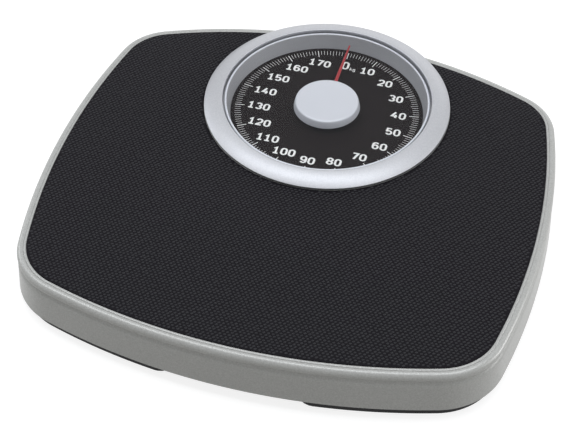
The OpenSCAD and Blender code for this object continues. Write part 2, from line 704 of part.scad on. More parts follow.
module long_lever_pins_right() lever_pins(front_x, fulcrum_front_y, fulcrum_front_y + knife_arm);
module long_lever_pins_left() lever_pins(-front_x, fulcrum_front_y, fulcrum_front_y + knife_arm);
module short_lever_pins_right() lever_pins(rear_x, fulcrum_rear_y, fulcrum_rear_y - knife_arm);
module short_lever_pins_left() lever_pins(-rear_x, fulcrum_rear_y, fulcrum_rear_y - knife_arm);

/* Mechanism */

// The plate under the lever noses, hung from the main spring, with a slotted tab for the crank
module nose_plate() color(zinc_colour) difference() {
    union() {
        block([plate_left, plate_front, plate_z], [plate_right + tab_w, plate_rear, plate_z + plate_t]);
        translate([0, spring_y, 0]) rod(spring_peg_r, plate_z, plate_z + plate_t + 2.5);
        block([plate_right, in_pin.x - 3.2, in_pin.y - link_pin_r - slot_gap - 1.2],
              [plate_right + tab_w, in_pin.x + 3.2, in_pin.y + link_pin_r + slot_gap + 1.6]);
    }
    for (y = [in_pin.x - in_shift, in_pin.x]) translate([0, y, in_pin.y])
        rod_x(link_pin_r + slot_gap, plate_right - 1, plate_right + tab_w + 1);
    block([plate_right - 1, in_pin.x - in_shift, in_pin.y - link_pin_r - slot_gap],
          [plate_right + tab_w + 1, in_pin.x, in_pin.y + link_pin_r + slot_gap]);
}

// The bell crank: the nose plate turns its flat arm, and its upright arm draws the rack forward
module bell_crank() color(zinc_colour) {
    difference() {
        union() {
            translate([0, crank_y, crank_z]) rod_x(crank_hub_r, out_x - 2, in_x + crank_t);
            crank_arm(in_x, in_pin);
            crank_arm(out_x, out_pin);
        }
        translate([0, crank_y, crank_z]) rod_x(crank_pin_r + run_fit, 0, in_x + 9);
    }
    translate([0, in_pin.x, in_pin.y]) rod_x(link_pin_r, plate_right - 0.6, in_x + 0.5);
    translate([0, out_pin.x, out_pin.y])
        rod_x(link_pin_r, pinion_r + dedendum - 0.2, out_x + 0.5);
}

// One arm of the crank: a flat link from the hub to a pin
module crank_arm(x, tip) {
    d = tip - [crank_y, crank_z];
    translate([x, crank_y, crank_z]) rotate([atan2(d.y, d.x), 0, 0]) {
        translate([0, 0, -arm_half]) cube([crank_t, norm(d), 2 * arm_half]);
        translate([0, norm(d), 0]) rod_x(arm_half, 0, crank_t);
    }
}

// The toothed rack, with an upright slot in its front end for the crank's pin
module rack() color(brass_colour) difference() {
    union() {
        block([pinion_r + dedendum, rack_front, rack_z],
              [pinion_r + dedendum + rack_back, rack_end, rack_z + rack_h]);
        block([pinion_r + dedendum, rack_front, slot_floor - 1],
              [pinion_r + dedendum + rack_back, rack_front + rack_tab_len, slot_top + 1]);
        translate([0, dial_y, rack_z]) linear_extrude(rack_h)
            for (i = [0:pinion_teeth + 1]) translate([0, (i + 0.5) * tooth_pitch]) rack_tooth();
    }
    for (z = [out_pin.y, out_pin.y + out_rise]) translate([0, out_pin.x, z])
        rod_x(link_pin_r + slot_gap, 0, 20);
    block([0, out_pin.x - link_pin_r - slot_gap, out_pin.y],
          [20, out_pin.x + link_pin_r + slot_gap, out_pin.y + out_rise]);
}

// A rack tooth that points at the pinion
module rack_tooth() {
    slope = tan(pressure);
    polygon([
        [pinion_r - addendum, -tooth_half + addendum * slope],
        [pinion_r - addendum, tooth_half - addendum * slope],
        [pinion_r + dedendum + 0.01, tooth_half + (dedendum + 0.01) * slope],
        [pinion_r + dedendum + 0.01, -tooth_half - (dedendum + 0.01) * slope]
    ]);
}

// The pinion, with involute flanks
module pinion() color(brass_colour) translate([0, dial_y, rack_z - 0.15]) difference() {
    base = pinion_r * cos(pressure);
    tip = pinion_r + pinion_addendum;
    root = pinion_r - module_size;
    at_pitch = sqrt(pow(pinion_r / base, 2) - 1) * 180 / PI;
    at_tip = sqrt(pow(tip / base, 2) - 1) * 180 / PI;
    turn = tooth_half / pinion_r * 180 / PI + at_pitch - pressure;
    flank = [for (i = [0:4]) rotated(involute(base, at_tip * i / 4), -turn)];
    linear_extrude(rack_h + 0.3) union() {
        circle(r = root, $fn = 48);
        for (i = [0:pinion_teeth - 1]) rotate(360 * i / pinion_teeth)
            polygon(concat([rotated([root * 0.8, 0], -turn)], flank,
                           [for (i = [4:-1:0]) [flank[i].x, -flank[i].y]],
                           [rotated([root * 0.8, 0], turn)]));
    }
    rod(spindle_r + fix_fit - 0.5, -1, rack_h + 1);
}

function rotated(p, a) = [p.x * cos(a) - p.y * sin(a), p.x * sin(a) + p.y * cos(a)];

// The upright spindle, thinner where it carries the pinion
module spindle() color(steel_colour) translate([0, dial_y, 0]) {
    rod(spindle_r, tray_z + 0.8, rack_z - 0.15);
    rod(spindle_r - 0.5, rack_z - 0.2, rack_z + rack_h + 0.2);
    rod(spindle_r, rack_z + rack_h + 0.15, cap_z - cap_t - 0.1);
}

// The red needle, with a ring round the cap's boss and a short tail inside the cap
module needle() color(needle_colour) translate([0, dial_y, needle_z - needle_t / 2]) difference() {
    union() {
        linear_extrude(needle_t) polygon([
            [-needle_w / 2, 5], [needle_w / 2, 5], [needle_tip_w / 2, needle_r - needle_tip_w / 2],
            [0, needle_r], [-needle_tip_w / 2, needle_r - needle_tip_w / 2]
        ]);
        block([-needle_w, -cap_r + cap_t + 6, 0], [needle_w, 0, needle_t]);
        rod(boss_r + 3, 0, needle_t);
    }
    rod(boss_r + fix_fit, -1, needle_t + 1);
}

// The silver cap over the hub, notched for the needle
module hub_cap() color(bezel_colour) {
    top_r = cap_r - cap_draft;
    difference() {
        union() {
            ring([
                [0, cap_z], [top_r - 1.6, cap_z - 0.15], [top_r - 0.7, cap_z - 0.4],
                [top_r - 0.15, cap_z - 0.9], [top_r + 0.1, cap_z - 1.6], [cap_r, cap_floor],
                [cap_r - cap_t, cap_floor], [top_r - cap_t, cap_z - cap_t - 0.6],
                [top_r - cap_t - 1, cap_z - cap_t], [0, cap_z - cap_t]
            ]);
            translate([0, dial_y, 0]) rod(boss_r, cap_floor + 0.4, cap_z - cap_t + 0.1);
        }
        translate([0, dial_y, 0]) {
            rod(spindle_r + fix_fit, cap_floor - 1, cap_z - cap_t);
            block([-needle_w / 2 - 0.4, boss_r + 4, needle_z - needle_t / 2 - 0.3],
                  [needle_w / 2 + 0.4, cap_r + 2, needle_z + needle_t / 2 + 0.3]);
        }
    }
}

/* Platform */

function rim_section(e) = concat(
    [[-4, deck_z - e - 2 * lap], [0.1 + e, deck_z - e], [0.3 + e, deck_z + mat_step - e]],
    arc_points([bead_out, bead_z], bead_r - e, 99, -9, 12),
    [[bead_out + bead_r - 0.4 - e, bead_z - 1.7], [bead_out + bead_r - 0.1 - e, bead_z - 2.8],
     [rim_w - e, skirt_z + e], [rim_w - cover_t + e, skirt_z + e],
     [bead_out + bead_r - 0.1 - cover_t + e, bead_z - 2.8],
     [bead_out + bead_r - 0.4 - cover_t + e, bead_z - 1.7]],
    arc_points([bead_out, bead_z], bead_r - cover_t + e, -9, 90, 8),
    [[bead_out - 1.5, deck_under + e], [-4, deck_under + e + 2 * lap]]
);

// The pressed cover: a flat deck, a rolled bead and a skirt that flares towards the floor
module platform_cover() color(cover_colour) difference() {
    union() {
        sweep(rim_section(0), rim_section(lap));
        plate(floor_outline(-3), deck_under, deck_z);
    }
    translate([0, dial_y, 0]) {
        rod(deck_hole_r, deck_under - 1, deck_z + 1);
        rod(mat_hole_r, deck_z, deck_z + 5);
        for (a = [45:90:315]) rotate(a) translate([well_screw_r, 0, 0])
            rod(screw_r + fix_fit, deck_under - 1, deck_z + 1);
    }
}

// The grained mat, cut out round the bezel
module platform_mat() color(mat_colour) difference() {
    plate(outline(MAT_ARCS, 0), deck_z, mat_top);
    translate([0, dial_y, 0]) rod(mat_hole_r, deck_z - 1, mat_top + 1);
}

// A yoke under the deck that bears on a lever's load pin and keeps the platform on
module load_yoke(at, way) color(zinc_colour) translate([at.x, at.y + way * knife_arm, 0])
    difference() {
        union() {
            block([-yoke_in - bracket_t, -yoke_half, deck_under - bracket_t],
                  [yoke_in + bracket_t, yoke_half, deck_under]);
            for (side = [0, 1]) mirror([side, 0, 0])
                block([yoke_in, -yoke_half, pin_z - yoke_slack - pin_r - 2],
                      [yoke_in + bracket_t, yoke_half, deck_under]);
        }
        for (z = [pin_z, pin_z - yoke_slack]) translate([0, 0, z])
            rod_x(pin_r + run_fit, -15, 15);
        block([-15, -pin_r - run_fit, pin_z - yoke_slack], [15, pin_r + run_fit, pin_z]);
    }

module load_yoke_front_left() load_yoke(FULCRUMS[0], 1);
module load_yoke_front_right() load_yoke(FULCRUMS[1], 1);
module load_yoke_rear_left() load_yoke(FULCRUMS[2], -1);
module load_yoke_rear_right() load_yoke(FULCRUMS[3], -1);

// The broad silver bezel: a crowned ring that stands on the deck inside the mat
module dial_bezel() color(bezel_colour) ring(concat(
    [[bezel_foot_r - bezel_foot_t, deck_z], [bezel_foot_r, deck_z], [bezel_foot_r, mat_top + 0.2],
     [bezel_r - 0.4, mat_top + 0.2], [bezel_r, mat_top + 0.7]],
    bow([bezel_r, mat_top + 1.3], [bezel_in_r + 1.1, bezel_z], crown_r, 10),
    [[bezel_in_r + 0.4, bezel_z - 0.05], [bezel_in_r, bezel_z - 0.5],
     [bezel_in_r, deck_z + flange_t], [bezel_in_r + bezel_t, deck_z + flange_t]],
    bow([bezel_in_r + bezel_t, bezel_z - bezel_t], [bezel_foot_r - bezel_foot_t, mat_top + 1.3],
        crown_r, 6)
));

// The well between the bezel and the dial: bright lip, sloping wall, ledge and screw flange
module dial_well() color(steel_colour) difference() {
    ring([
        [dial_r + fix_fit, dial_under], [dial_r + fix_fit, dial_z], [lip_r - 0.2, lip_z - 0.6],
        [lip_r, lip_z - 0.2], [lip_r + 0.4, lip_z], [lip_r + 1.1, lip_z], [lip_r + well_wall, lip_z - 0.3],
        [lip_r + well_wall, deck_z + flange_t], [well_flange_r, deck_z + flange_t],
        [well_flange_r, deck_z], [deck_hole_r - 0.3, deck_z], [deck_hole_r - 0.3, deck_under - 1],
        [dial_r + well_wall, dial_z - 0.5], [dial_r + well_wall, dial_under - 1.3],
        [dial_r - 2, dial_under - 1.3], [dial_r - 2, dial_under]
    ]);
    translate([0, dial_y, 0]) for (a = [45:90:315]) rotate(a) translate([well_screw_r, 0, 0])
        rod(screw_r + fix_fit, deck_z - 1, deck_z + flange_t - 0.3);
}

// The dial plate, on the well's ledge
module dial_plate() color(dial_colour) translate([0, dial_y, 0]) difference() {
    rod(dial_r, dial_under, dial_z);
    rod(dial_hole_r, dial_under - 1, dial_z + 1);
}

// The clear lens, on the well's lip inside the bezel
module dial_lens() color([0.9, 0.95, 1, 0.25]) translate([0, dial_y, 0])
    rod(lens_r, lip_z, lip_z + lens_t);

// Screws from below that hold the well to the deck
module well_screws() color(zinc_colour) translate([0, dial_y, 0])
    for (a = [45:90:315]) rotate(a) translate([well_screw_r, 0, 0]) {
        rod(screw_r, deck_under - 0.5, deck_z + flange_t - 0.4);
        rod(screw_head_r, deck_under - screw_head_t, deck_under);
    }

base_tray();
foot_front_left();
foot_front_right();
foot_rear_left();
foot_rear_right();
foot_screws();
fulcrum_bracket_front_left();
fulcrum_bracket_front_right();
fulcrum_bracket_rear_left();
fulcrum_bracket_rear_right();
bracket_rivets();
mechanism_frame();
crank_pin();
spindle_bush_upper();
spindle_bush_lower();
rack_guide();
rack_spring_post();
rack_spring();
main_spring();
zero_bracket();
zero_wheel();
zero_screw();
long_lever_left();
long_lever_right();
short_lever_left();
short_lever_right();
long_lever_pins_left();
long_lever_pins_right();
short_lever_pins_left();
short_lever_pins_right();
nose_plate();
bell_crank();
rack();
pinion();
spindle();
needle();
hub_cap();
platform_cover();
platform_mat();
load_yoke_front_left();
load_yoke_front_right();
load_yoke_rear_left();
load_yoke_rear_right();
dial_bezel();
dial_well();
dial_plate();
dial_lens();
well_screws();
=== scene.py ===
"""Mechanical bathroom scale: silver pressed cover, grained mat, large black dial under a silver bezel."""

import math

import bmesh
import bpy
from mathutils import Matrix, Vector


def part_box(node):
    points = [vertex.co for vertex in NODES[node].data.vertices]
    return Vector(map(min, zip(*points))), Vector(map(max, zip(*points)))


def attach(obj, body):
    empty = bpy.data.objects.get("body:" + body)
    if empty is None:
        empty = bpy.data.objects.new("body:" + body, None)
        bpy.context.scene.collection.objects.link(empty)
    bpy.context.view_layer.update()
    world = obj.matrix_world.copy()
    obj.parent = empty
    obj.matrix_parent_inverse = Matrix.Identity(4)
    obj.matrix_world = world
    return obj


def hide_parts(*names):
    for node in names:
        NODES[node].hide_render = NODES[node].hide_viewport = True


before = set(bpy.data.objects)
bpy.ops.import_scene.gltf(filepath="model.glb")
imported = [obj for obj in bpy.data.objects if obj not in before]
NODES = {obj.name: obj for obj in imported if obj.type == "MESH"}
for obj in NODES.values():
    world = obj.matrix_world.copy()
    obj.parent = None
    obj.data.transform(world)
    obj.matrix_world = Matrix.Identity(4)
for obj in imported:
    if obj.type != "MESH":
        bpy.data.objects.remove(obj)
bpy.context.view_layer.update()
MM = 0.001


def size_of(node):
    """The lowest and highest corners of a CAD node, in millimetres."""
    low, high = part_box(node)
    return low / MM, high / MM


# ---------------------------------------------------------------- sizes in millimetres, from the frame

cover_low, cover_high = size_of("platform_cover")
mat_low, mat_high = size_of("platform_mat")
dial_low, dial_high = size_of("dial_plate")
bezel_high = size_of("dial_bezel")[1]
well_low, well_high = size_of("dial_well")
lens_low, lens_high = size_of("dial_lens")
cap_low, cap_high = size_of("hub_cap")
needle_low, needle_high = size_of("needle")

DIAL_Y = (dial_low.y + dial_high.y) / 2
DIAL_AXIS = Vector((0, DIAL_Y))
DIAL_R = dial_high.x
DIAL_TOP = dial_high.z
BEZEL_R = bezel_high.x
BEZEL_TOP = bezel_high.z
LIP_Z = well_high.z
MAT_TOP = mat_high.z
DECK_Z = mat_low.z
FRONT_Y = mat_low.y
SIDE_X = mat_high.x
RIM_W = cover_high.x - SIDE_X
SKIRT_Z = cover_low.z

# ---------------------------------------------------------------- sizes in millimetres, chosen

# The outline is drawn at the mat's edge, in arcs of these radii.
FRONT_R = 495.0
SIDE_R = 550.0
REAR_R = 385.0
FRONT_CORNER_R = 46.0
REAR_CORNER_R = 39.0
# The hollow where the rear edge runs into the bulge behind the dial.
SHOULDER_R = 36.0
# How far in front of the dial's axis the sides are widest, and how far the bezel stands past the rear edge.
WAIST_SET = 94.0
BEZEL_OVERHANG = 20.8
REAR_Y = DIAL_Y + BEZEL_R - BEZEL_OVERHANG
BULGE_R = BEZEL_R - RIM_W
OUTLINE_STEP = 2.6

# The cover's sheet, its bead outwards of and below the mat's top edge, and the skirt's start below the bead.
SHEET_T = 1.0
BEAD_R = 4.0
BEAD_OUT = 3.25
BEAD_DROP = 4.9
SKIRT_DROP = 6.4
SKIRT_ROWS = 6
CUT_EDGE_R = 0.18
# The rim's section reaches this far inwards over the deck, and the deck goes on to the hole under the dial.
DECK_LAP = 4.0
DECK_HOLE_R = 84.0
# Under the bezel the rim is pressed flat, a hair below the deck.
PRESSED_FLAT = 0.05
PRESSED_PAST_MAT = 0.6

# The mat is cut out round the bezel, and its base carries the raised grains.
MAT_HOLE_R = BEZEL_R + 0.3
MAT_PLAY = 0.08
GRAIN_HEIGHT = 0.34
MAT_BASE = MAT_TOP - GRAIN_HEIGHT
GRAIN_FIELD_INSET = 1.5
HORN_STEPS = 34
HOLE_STEPS = 180

BEZEL_IN_R = 85.0
BEZEL_CROWN_R = 30.0
FLANGE_R = BEZEL_IN_R + 8.0
FLANGE_TOP = DECK_Z + 2.0
WELL_T = 1.5
LIP_R = 81.9
LIP_LIFT = 0.05
LENS_EASE = 0.25
RING_STEPS = 288
DISC_STEPS = 192

INK_T = 0.05
TICK_OUT = 75.5
FIGURE_RING_R = 65.0
# The level parts of a stroke are this share of the upright parts.
THIN_STROKE = 0.76
# A second stroke lies this much above the first, and each rises a little along its way, so no tops lie level.
LAYER_T = 0.012
LAYER_RISE = 0.8
# A mitre reaches no further than at this cosine, however sharp the corner.
SHARPEST_MITRE = 0.55


# ---------------------------------------------------------------- outline of the platform

def heading(start, end):
    return math.atan2(end.y - start.y, end.x - start.x)


def meet(c1, r1, c2, r2, upper):
    """Where two circles meet, on the side of +x."""
    gap = c2 - c1
    along = (gap.length_squared + r1 * r1 - r2 * r2) / (2 * gap.length)
    off = math.sqrt(r1 * r1 - along * along)
    unit = gap.normalized()
    side = Vector((-unit.y, unit.x))
    p, q = c1 + along * unit + off * side, c1 + along * unit - off * side
    if abs(p.x - q.x) > abs(p.y - q.y):
        return p if p.x > q.x else q
    return p if (p.y > q.y) == upper else q


def outline_arcs():
    """The right half as arcs: centre, radius, start angle, end angle, +1 bowed out or -1 hollow."""
    front = Vector((0, FRONT_Y + FRONT_R))
    side = Vector((SIDE_X - SIDE_R, DIAL_Y - WAIST_SET))
    rear = Vector((0, REAR_Y - REAR_R))
    front_corner = meet(front, FRONT_R - FRONT_CORNER_R, side, SIDE_R - FRONT_CORNER_R, False)
    rear_corner = meet(rear, REAR_R - REAR_CORNER_R, side, SIDE_R - REAR_CORNER_R, True)
    shoulder = meet(rear, REAR_R + SHOULDER_R, DIAL_AXIS, BULGE_R + SHOULDER_R, True)
    a_front, a_side = heading(front, front_corner), heading(side, front_corner)
    b_side, b_rear = heading(side, rear_corner), heading(rear, rear_corner)
    c_rear, c_bulge = heading(rear, shoulder), heading(DIAL_AXIS, shoulder)
    return [
        (front, FRONT_R, -math.pi / 2, a_front, 1),
        (front_corner, FRONT_CORNER_R, a_front, a_side, 1),
        (side, SIDE_R, a_side, b_side, 1),
        (rear_corner, REAR_CORNER_R, b_side, b_rear, 1),
        (rear, REAR_R, b_rear, c_rear, 1),
        (shoulder, SHOULDER_R, c_rear + math.pi, c_bulge + math.pi, -1),
        (DIAL_AXIS, BULGE_R, c_bulge, math.pi / 2, 1),
    ]


def arc_steps(start, end, radius):
    """How many steps of about OUTLINE_STEP an arc takes."""
    return max(2, math.ceil(abs(end - start) * radius / OUTLINE_STEP))


def unit_at(angle):
    return Vector((math.cos(angle), math.sin(angle)))


def stations(arcs):
    """Points round the whole outline as (point, outward direction)."""
    half = []
    for centre, radius, start, end, bow in arcs:
        steps = arc_steps(start, end, radius)
        for i in range(steps):
            unit = unit_at(start + (end - start) * i / steps)
            half.append((centre + radius * unit, bow * unit))
    unit = unit_at(end)
    half.append((centre + radius * unit, bow * unit))
    other = [(Vector((-p.x, p.y)), Vector((-n.x, n.y))) for p, n in reversed(half[1:-1])]
    return half + other


ARCS = outline_arcs()
# The mat's outline leaves out the bulge: its rear edge runs on to the middle.
MAT_REAR = ARCS[4][0]
MAT_ARCS = ARCS[:4] + [(MAT_REAR, REAR_R, ARCS[4][2], math.pi / 2, 1)]


# ---------------------------------------------------------------- mesh helpers

# Edges sharper than this many degrees stay crisp, and points nearer than this many metres are one point.
SHARP_ANGLE = 38
SAME_POINT = 1e-7


def raw_mesh(name, verts, faces):
    """A mesh from points in millimetres."""
    mesh = bpy.data.meshes.new(name)
    mesh.from_pydata([tuple(c * MM for c in v) for v in verts], [], faces)
    return mesh


def linked(name, data):
    """A new object of that data, in the scene."""
    obj = bpy.data.objects.new(name, data)
    bpy.context.scene.collection.objects.link(obj)
    return obj


def mesh_object(name, verts, faces, smooth=True):
    """An object from points in millimetres, with doubles merged and normals recalculated outwards."""
    mesh = raw_mesh(name, verts, faces)
    bm = bmesh.new()
    bm.from_mesh(mesh)
    bmesh.ops.remove_doubles(bm, verts=bm.verts, dist=SAME_POINT)
    bmesh.ops.recalc_face_normals(bm, faces=bm.faces)
    bm.to_mesh(mesh)
    bm.free()
    if smooth:
        mesh.polygons.foreach_set("use_smooth", [True] * len(mesh.polygons))
        mesh.set_sharp_from_angle(angle=math.radians(SHARP_ANGLE))
    return linked(name, mesh)


def baked(obj):
    """The object with its modifiers turned into plain mesh."""
    graph = bpy.context.evaluated_depsgraph_get()
    mesh = bpy.data.meshes.new_from_object(obj.evaluated_get(graph))
    obj.modifiers.clear()
    obj.data = mesh
    return obj


def ring_faces(rows, size, base=0, closed=True):
    """Faces between rows of points round a ring; where closed, each row's end joins its start."""
    faces = []
    for i in range(rows):
        here, there = base + i * size, base + (i + 1) % rows * size
        for j in range(size if closed else size - 1):
            k = (j + 1) % size
            faces.append((here + j, here + k, there + k, there + j))
    return faces


def block_faces(base=0):
    """The six faces of a block given as four points below and the same four above."""
    ends = [(base + 3, base + 2, base + 1, base), (base + 4, base + 5, base + 6, base + 7)]
    return ends + [(base + i, base + (i + 1) % 4, base + 4 + (i + 1) % 4, base + 4 + i) for i in range(4)]


def block_points(xs, ys, zs):
    """The eight corners of a block, the lower four first."""
    (x0, x1), (y0, y1) = xs, ys
    return [(x, y, z) for z in zs for x, y in ((x0, y0), (x1, y0), (x1, y1), (x0, y1))]


def ellipse(cx, cy, rx, ry, start, end, steps):
    """Points of an elliptical arc, with its angles in degrees."""
    angles = [math.radians(start + (end - start) * i / steps) for i in range(steps + 1)]
    return [(cx + rx * math.cos(angle), cy + ry * math.sin(angle)) for angle in angles]


def crown(start, end, radius, steps):
    """An arc from start to end that bulges upwards."""
    p, q = Vector(start), Vector(end)
    gap = q - p
    normal = Vector((-gap.y, gap.x)).normalized() * (1 if gap.x > 0 else -1)
    centre = (p + q) / 2 - normal * math.sqrt(radius ** 2 - gap.length_squared / 4)
    a, b = math.degrees(heading(centre, p)), math.degrees(heading(centre, q))
    return ellipse(centre.x, centre.y, radius, radius, a, b, steps)


def offsets(origin, steps):
    """Points of a section, each given as how far out and how far down from an origin."""
    return [(origin[0] + out, origin[1] - down) for out, down in steps]


def lathe(name, profile, steps, closed=True):
    """A profile of (radius, height) points turned about the dial's axis."""
    verts = []
    for i in range(steps):
        angle = 2 * math.pi * i / steps
        verts += [(r * math.cos(angle), DIAL_Y + r * math.sin(angle), z) for r, z in profile]
    return mesh_object(name, verts, ring_faces(steps, len(profile), closed=closed))


def place(piece, body, slot=None, *replaced):
    """Rides a piece on a body and hides the CAD nodes that it stands for; the slot argument is not used."""
    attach(piece, body)
    if replaced:
        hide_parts(*replaced)


# ---------------------------------------------------------------- material helpers

TEX_COORD = "ShaderNodeTexCoord"
NOISE = "ShaderNodeTexNoise"
MAP_RANGE = "ShaderNodeMapRange"
MIX = "ShaderNodeMix"
BUMP = "ShaderNodeBump"
PRINCIPLED = "ShaderNodeBsdfPrincipled"
DIFFUSE = "ShaderNodeBsdfDiffuse"
SURFACE = "ShaderNodeOutputMaterial"
MATH = "ShaderNodeMath"
VECTOR_MATH = "ShaderNodeVectorMath"
COMBINE = "ShaderNodeCombineXYZ"
RANDOM = "FunctionNodeRandomValue"


def linear(code):
    """An sRGB hex colour as linear values."""
    parts = [int(code[i:i + 2], 16) / 255 for i in (1, 3, 5)]
    return tuple(c / 12.92 if c <= 0.04045 else ((c + 0.055) / 1.055) ** 2.4 for c in parts) + (1.0,)


def add(tree, kind, inputs=None, **settings):
    """Adds a node, with its settings first, then its inputs as values or as links from (node, output)."""
    made = tree.nodes.new(kind)
    for key, value in settings.items():
        setattr(made, key, value)
    for key, value in (inputs or {}).items():
        if isinstance(value, tuple) and isinstance(value[0], bpy.types.Node):
            tree.links.new(value[0].outputs[value[1]], made.inputs[key])
        else:
            made.inputs[key].default_value = value
    return made


def new_material(name):
    material = bpy.data.materials.new(name)
    material.use_nodes = True
    material.node_tree.nodes.clear()
    return material, material.node_tree


def principled(name, colour, roughness, metallic=0.0, grain=None, fleck=None, **sockets):
    """A finish with an optional fine relief, grain = (size in mm, depth in mm, strength), and an
    optional fleck of a second colour, fleck = (size in mm, colour, amount)."""
    material, tree = new_material(name)
    where = add(tree, TEX_COORD)
    inputs = {"Base Color": linear(colour), "Roughness": roughness, "Metallic": metallic, **sockets}
    if fleck:
        size, other, amount = fleck
        noise = add(tree, NOISE, {
            "Vector": (where, "Object"), "Scale": 1 / (size * MM), "Detail": 3.0, "Roughness": 0.55})
        ramp = add(tree, MAP_RANGE, {
            "Value": (noise, "Fac"), "From Min": 0.35, "From Max": 0.65, "To Min": 0.0, "To Max": amount})
        mix = add(tree, MIX, {"Factor": (ramp, "Result"), "A": linear(colour), "B": linear(other)},
                  data_type="RGBA")
        inputs["Base Color"] = (mix, "Result")
    if grain:
        size, depth, strength = grain
        relief = add(tree, NOISE, {
            "Vector": (where, "Object"), "Scale": 1 / (size * MM), "Detail": 4.0, "Roughness": 0.6})
        bump = add(tree, BUMP, {"Height": (relief, "Fac"), "Strength": strength, "Distance": depth * MM})
        inputs["Normal"] = (bump, "Normal")
        # hollows of the relief are a little smoother than its tops
        rough = add(tree, MAP_RANGE, {
            "Value": (relief, "Fac"), "From Min": 0.3, "From Max": 0.7,
            "To Min": roughness - 0.04, "To Max": roughness + 0.05})
        inputs["Roughness"] = (rough, "Result")
    shader = add(tree, PRINCIPLED, inputs)
    add(tree, SURFACE, {"Surface": (shader, "BSDF")})
    return material


def paint(piece, material):
    """Gives a new piece its finish."""
    piece.data.materials.clear()
    piece.data.materials.append(material)
    return piece


def dress(material, *names):
    """Gives carried-over CAD nodes a finish, with their shape as it is."""
    for name in names:
        for socket in NODES[name].material_slots:
            socket.material = material


# ---------------------------------------------------------------- finishes

# Metal flake, the tooth of ink and the marks of drawing and turning are finer than a tenth of a millimetre on
# the real thing. They are drawn 0.3 to 1.4 mm across, as coarse as they need to be to show. Orange peel,
# spangle and clouds are drawn at their own 1 to 6 mm.

# Silver stoving enamel sprayed on pressed steel: satin, with specks of metal flake and a faint orange peel.
SILVER_ENAMEL = principled("silver_stoving_enamel", "#b1b2b0", 0.34, 0.16, grain=(0.9, 0.04, 0.4),
                           fleck=(1.1, "#989896", 0.7), **{"Specular IOR Level": 0.6})
# Satin silver paint on a moulded ABS ring: cooler and more metallic than the cover, with broad soft lights.
SILVER_ABS = principled("satin_silver_on_abs", "#b5b6ba", 0.45, 0.62, grain=(0.9, 0.012, 0.3),
                        fleck=(1.0, "#a6a8ae", 0.7))
# Pale silver lacquer of the hub cap, smooth enough for a soft edge of light. The well's lip, in the well's
# own silver, takes it too: there its paler colour is a painted highlight along the edge.
CAP_LACQUER_AND_LIP_HIGHLIGHT = principled("silver_lacquered_cap_and_lip_highlight", "#dadde5", 0.4, 0.15, grain=(0.9, 0.005, 0.2),
                         fleck=(1.4, "#d5d8e0", 0.5))
# Silver lacquer in the well round the dial: less metallic than the ring over it, and in its shade.
SILVER_WELL = principled("silver_lacquered_well", "#b3b4b9", 0.34, 0.12, grain=(1.2, 0.01, 0.2))
# Moulded synthetic rubber: dull, near black with a violet cast. It is a little darker than the grains on it,
# as painted shade in the gaps between them.
MAT_RUBBER = principled("moulded_rubber_mat", "#0b090e", 0.65, grain=(0.6, 0.05, 0.5),
                        fleck=(4.0, "#100e14", 0.6), **{"Specular IOR Level": 0.1})
# The tops of the mat's grains: a little smoother than the mat between them, and a little lighter as painted
# light on the tops.
MAT_GRAIN_PAINTED_LIGHT = principled("painted_light_rubber_grain", "#101016", 0.52, grain=(0.5, 0.03, 0.3),
                       **{"Specular IOR Level": 0.25})
# Black matt lacquer rolled on a tinplate dial: almost no gloss, very slightly warm.
DIAL_LACQUER = principled("matt_black_lacquer", "#1a1313", 0.6, grain=(0.4, 0.01, 0.3),
                          fleck=(3.0, "#1d1616", 0.6), **{"Specular IOR Level": 0.05})
# White screen-printing ink: flat and opaque.
DIAL_INK = principled("white_printed_ink", "#fbfbfa", 0.55, grain=(0.3, 0.005, 0.2))
# Red enamel on a thin stamped needle: a clear red with some gloss.
NEEDLE_RED = principled("red_enamel_on_steel", "#a8282e", 0.35, grain=(0.5, 0.01, 0.2))
# Black moulded rubber of the feet and the thumbwheel: dull, with a bloom of grey.
FOOT_RUBBER = principled("black_moulded_rubber", "#101011", 0.65, grain=(0.8, 0.06, 0.5),
                         fleck=(2.0, "#161618", 0.6), **{"Specular IOR Level": 0.3})
# Bright zinc plate on pressed steel: bluish, with a faint crystalline unevenness.
ZINC_PLATE = principled("bright_zinc_plate", "#b4b8bb", 0.34, 1.0, grain=(1.6, 0.02, 0.35),
                        fleck=(2.5, "#a3a8ad", 0.8))
# Bare drawn steel rod and wire: smooth and fairly bright.
DRAWN_STEEL = principled("drawn_steel", "#9da0a2", 0.28, 1.0, grain=(0.35, 0.006, 0.3))
# Grey paint on the pressed steel of the tray: half matt and a little uneven.
TRAY_PAINT = principled("grey_paint_on_pressed_steel", "#85878a", 0.5, 0.2, grain=(1.8, 0.03, 0.35),
                        fleck=(6.0, "#7b7d80", 0.7))
# Blued and oiled steel of the levers: dark, with cloudy patches.
LEVER_STEEL = principled("blued_lever_steel", "#5d6064", 0.42, 0.9, grain=(1.0, 0.02, 0.4),
                         fleck=(5.0, "#53565a", 0.8))
# Turned brass, a little dulled.
TURNED_BRASS = principled("turned_brass", "#b3925a", 0.3, 1.0, grain=(0.4, 0.006, 0.3),
                          fleck=(3.0, "#a18450", 0.7))


def clear_plastic():
    """Clear moulded styrene of the lens: it shows only a trace of gloss over the dial."""
    material, tree = new_material("clear_styrene")
    shader = add(tree, PRINCIPLED, {
        "Base Color": linear("#5c6064"), "Roughness": 0.05, "IOR": 1.5, "Alpha": 0.06})
    add(tree, SURFACE, {"Surface": (shader, "BSDF")})
    return material


CLEAR_STYRENE = clear_plastic()


# ---------------------------------------------------------------- cover

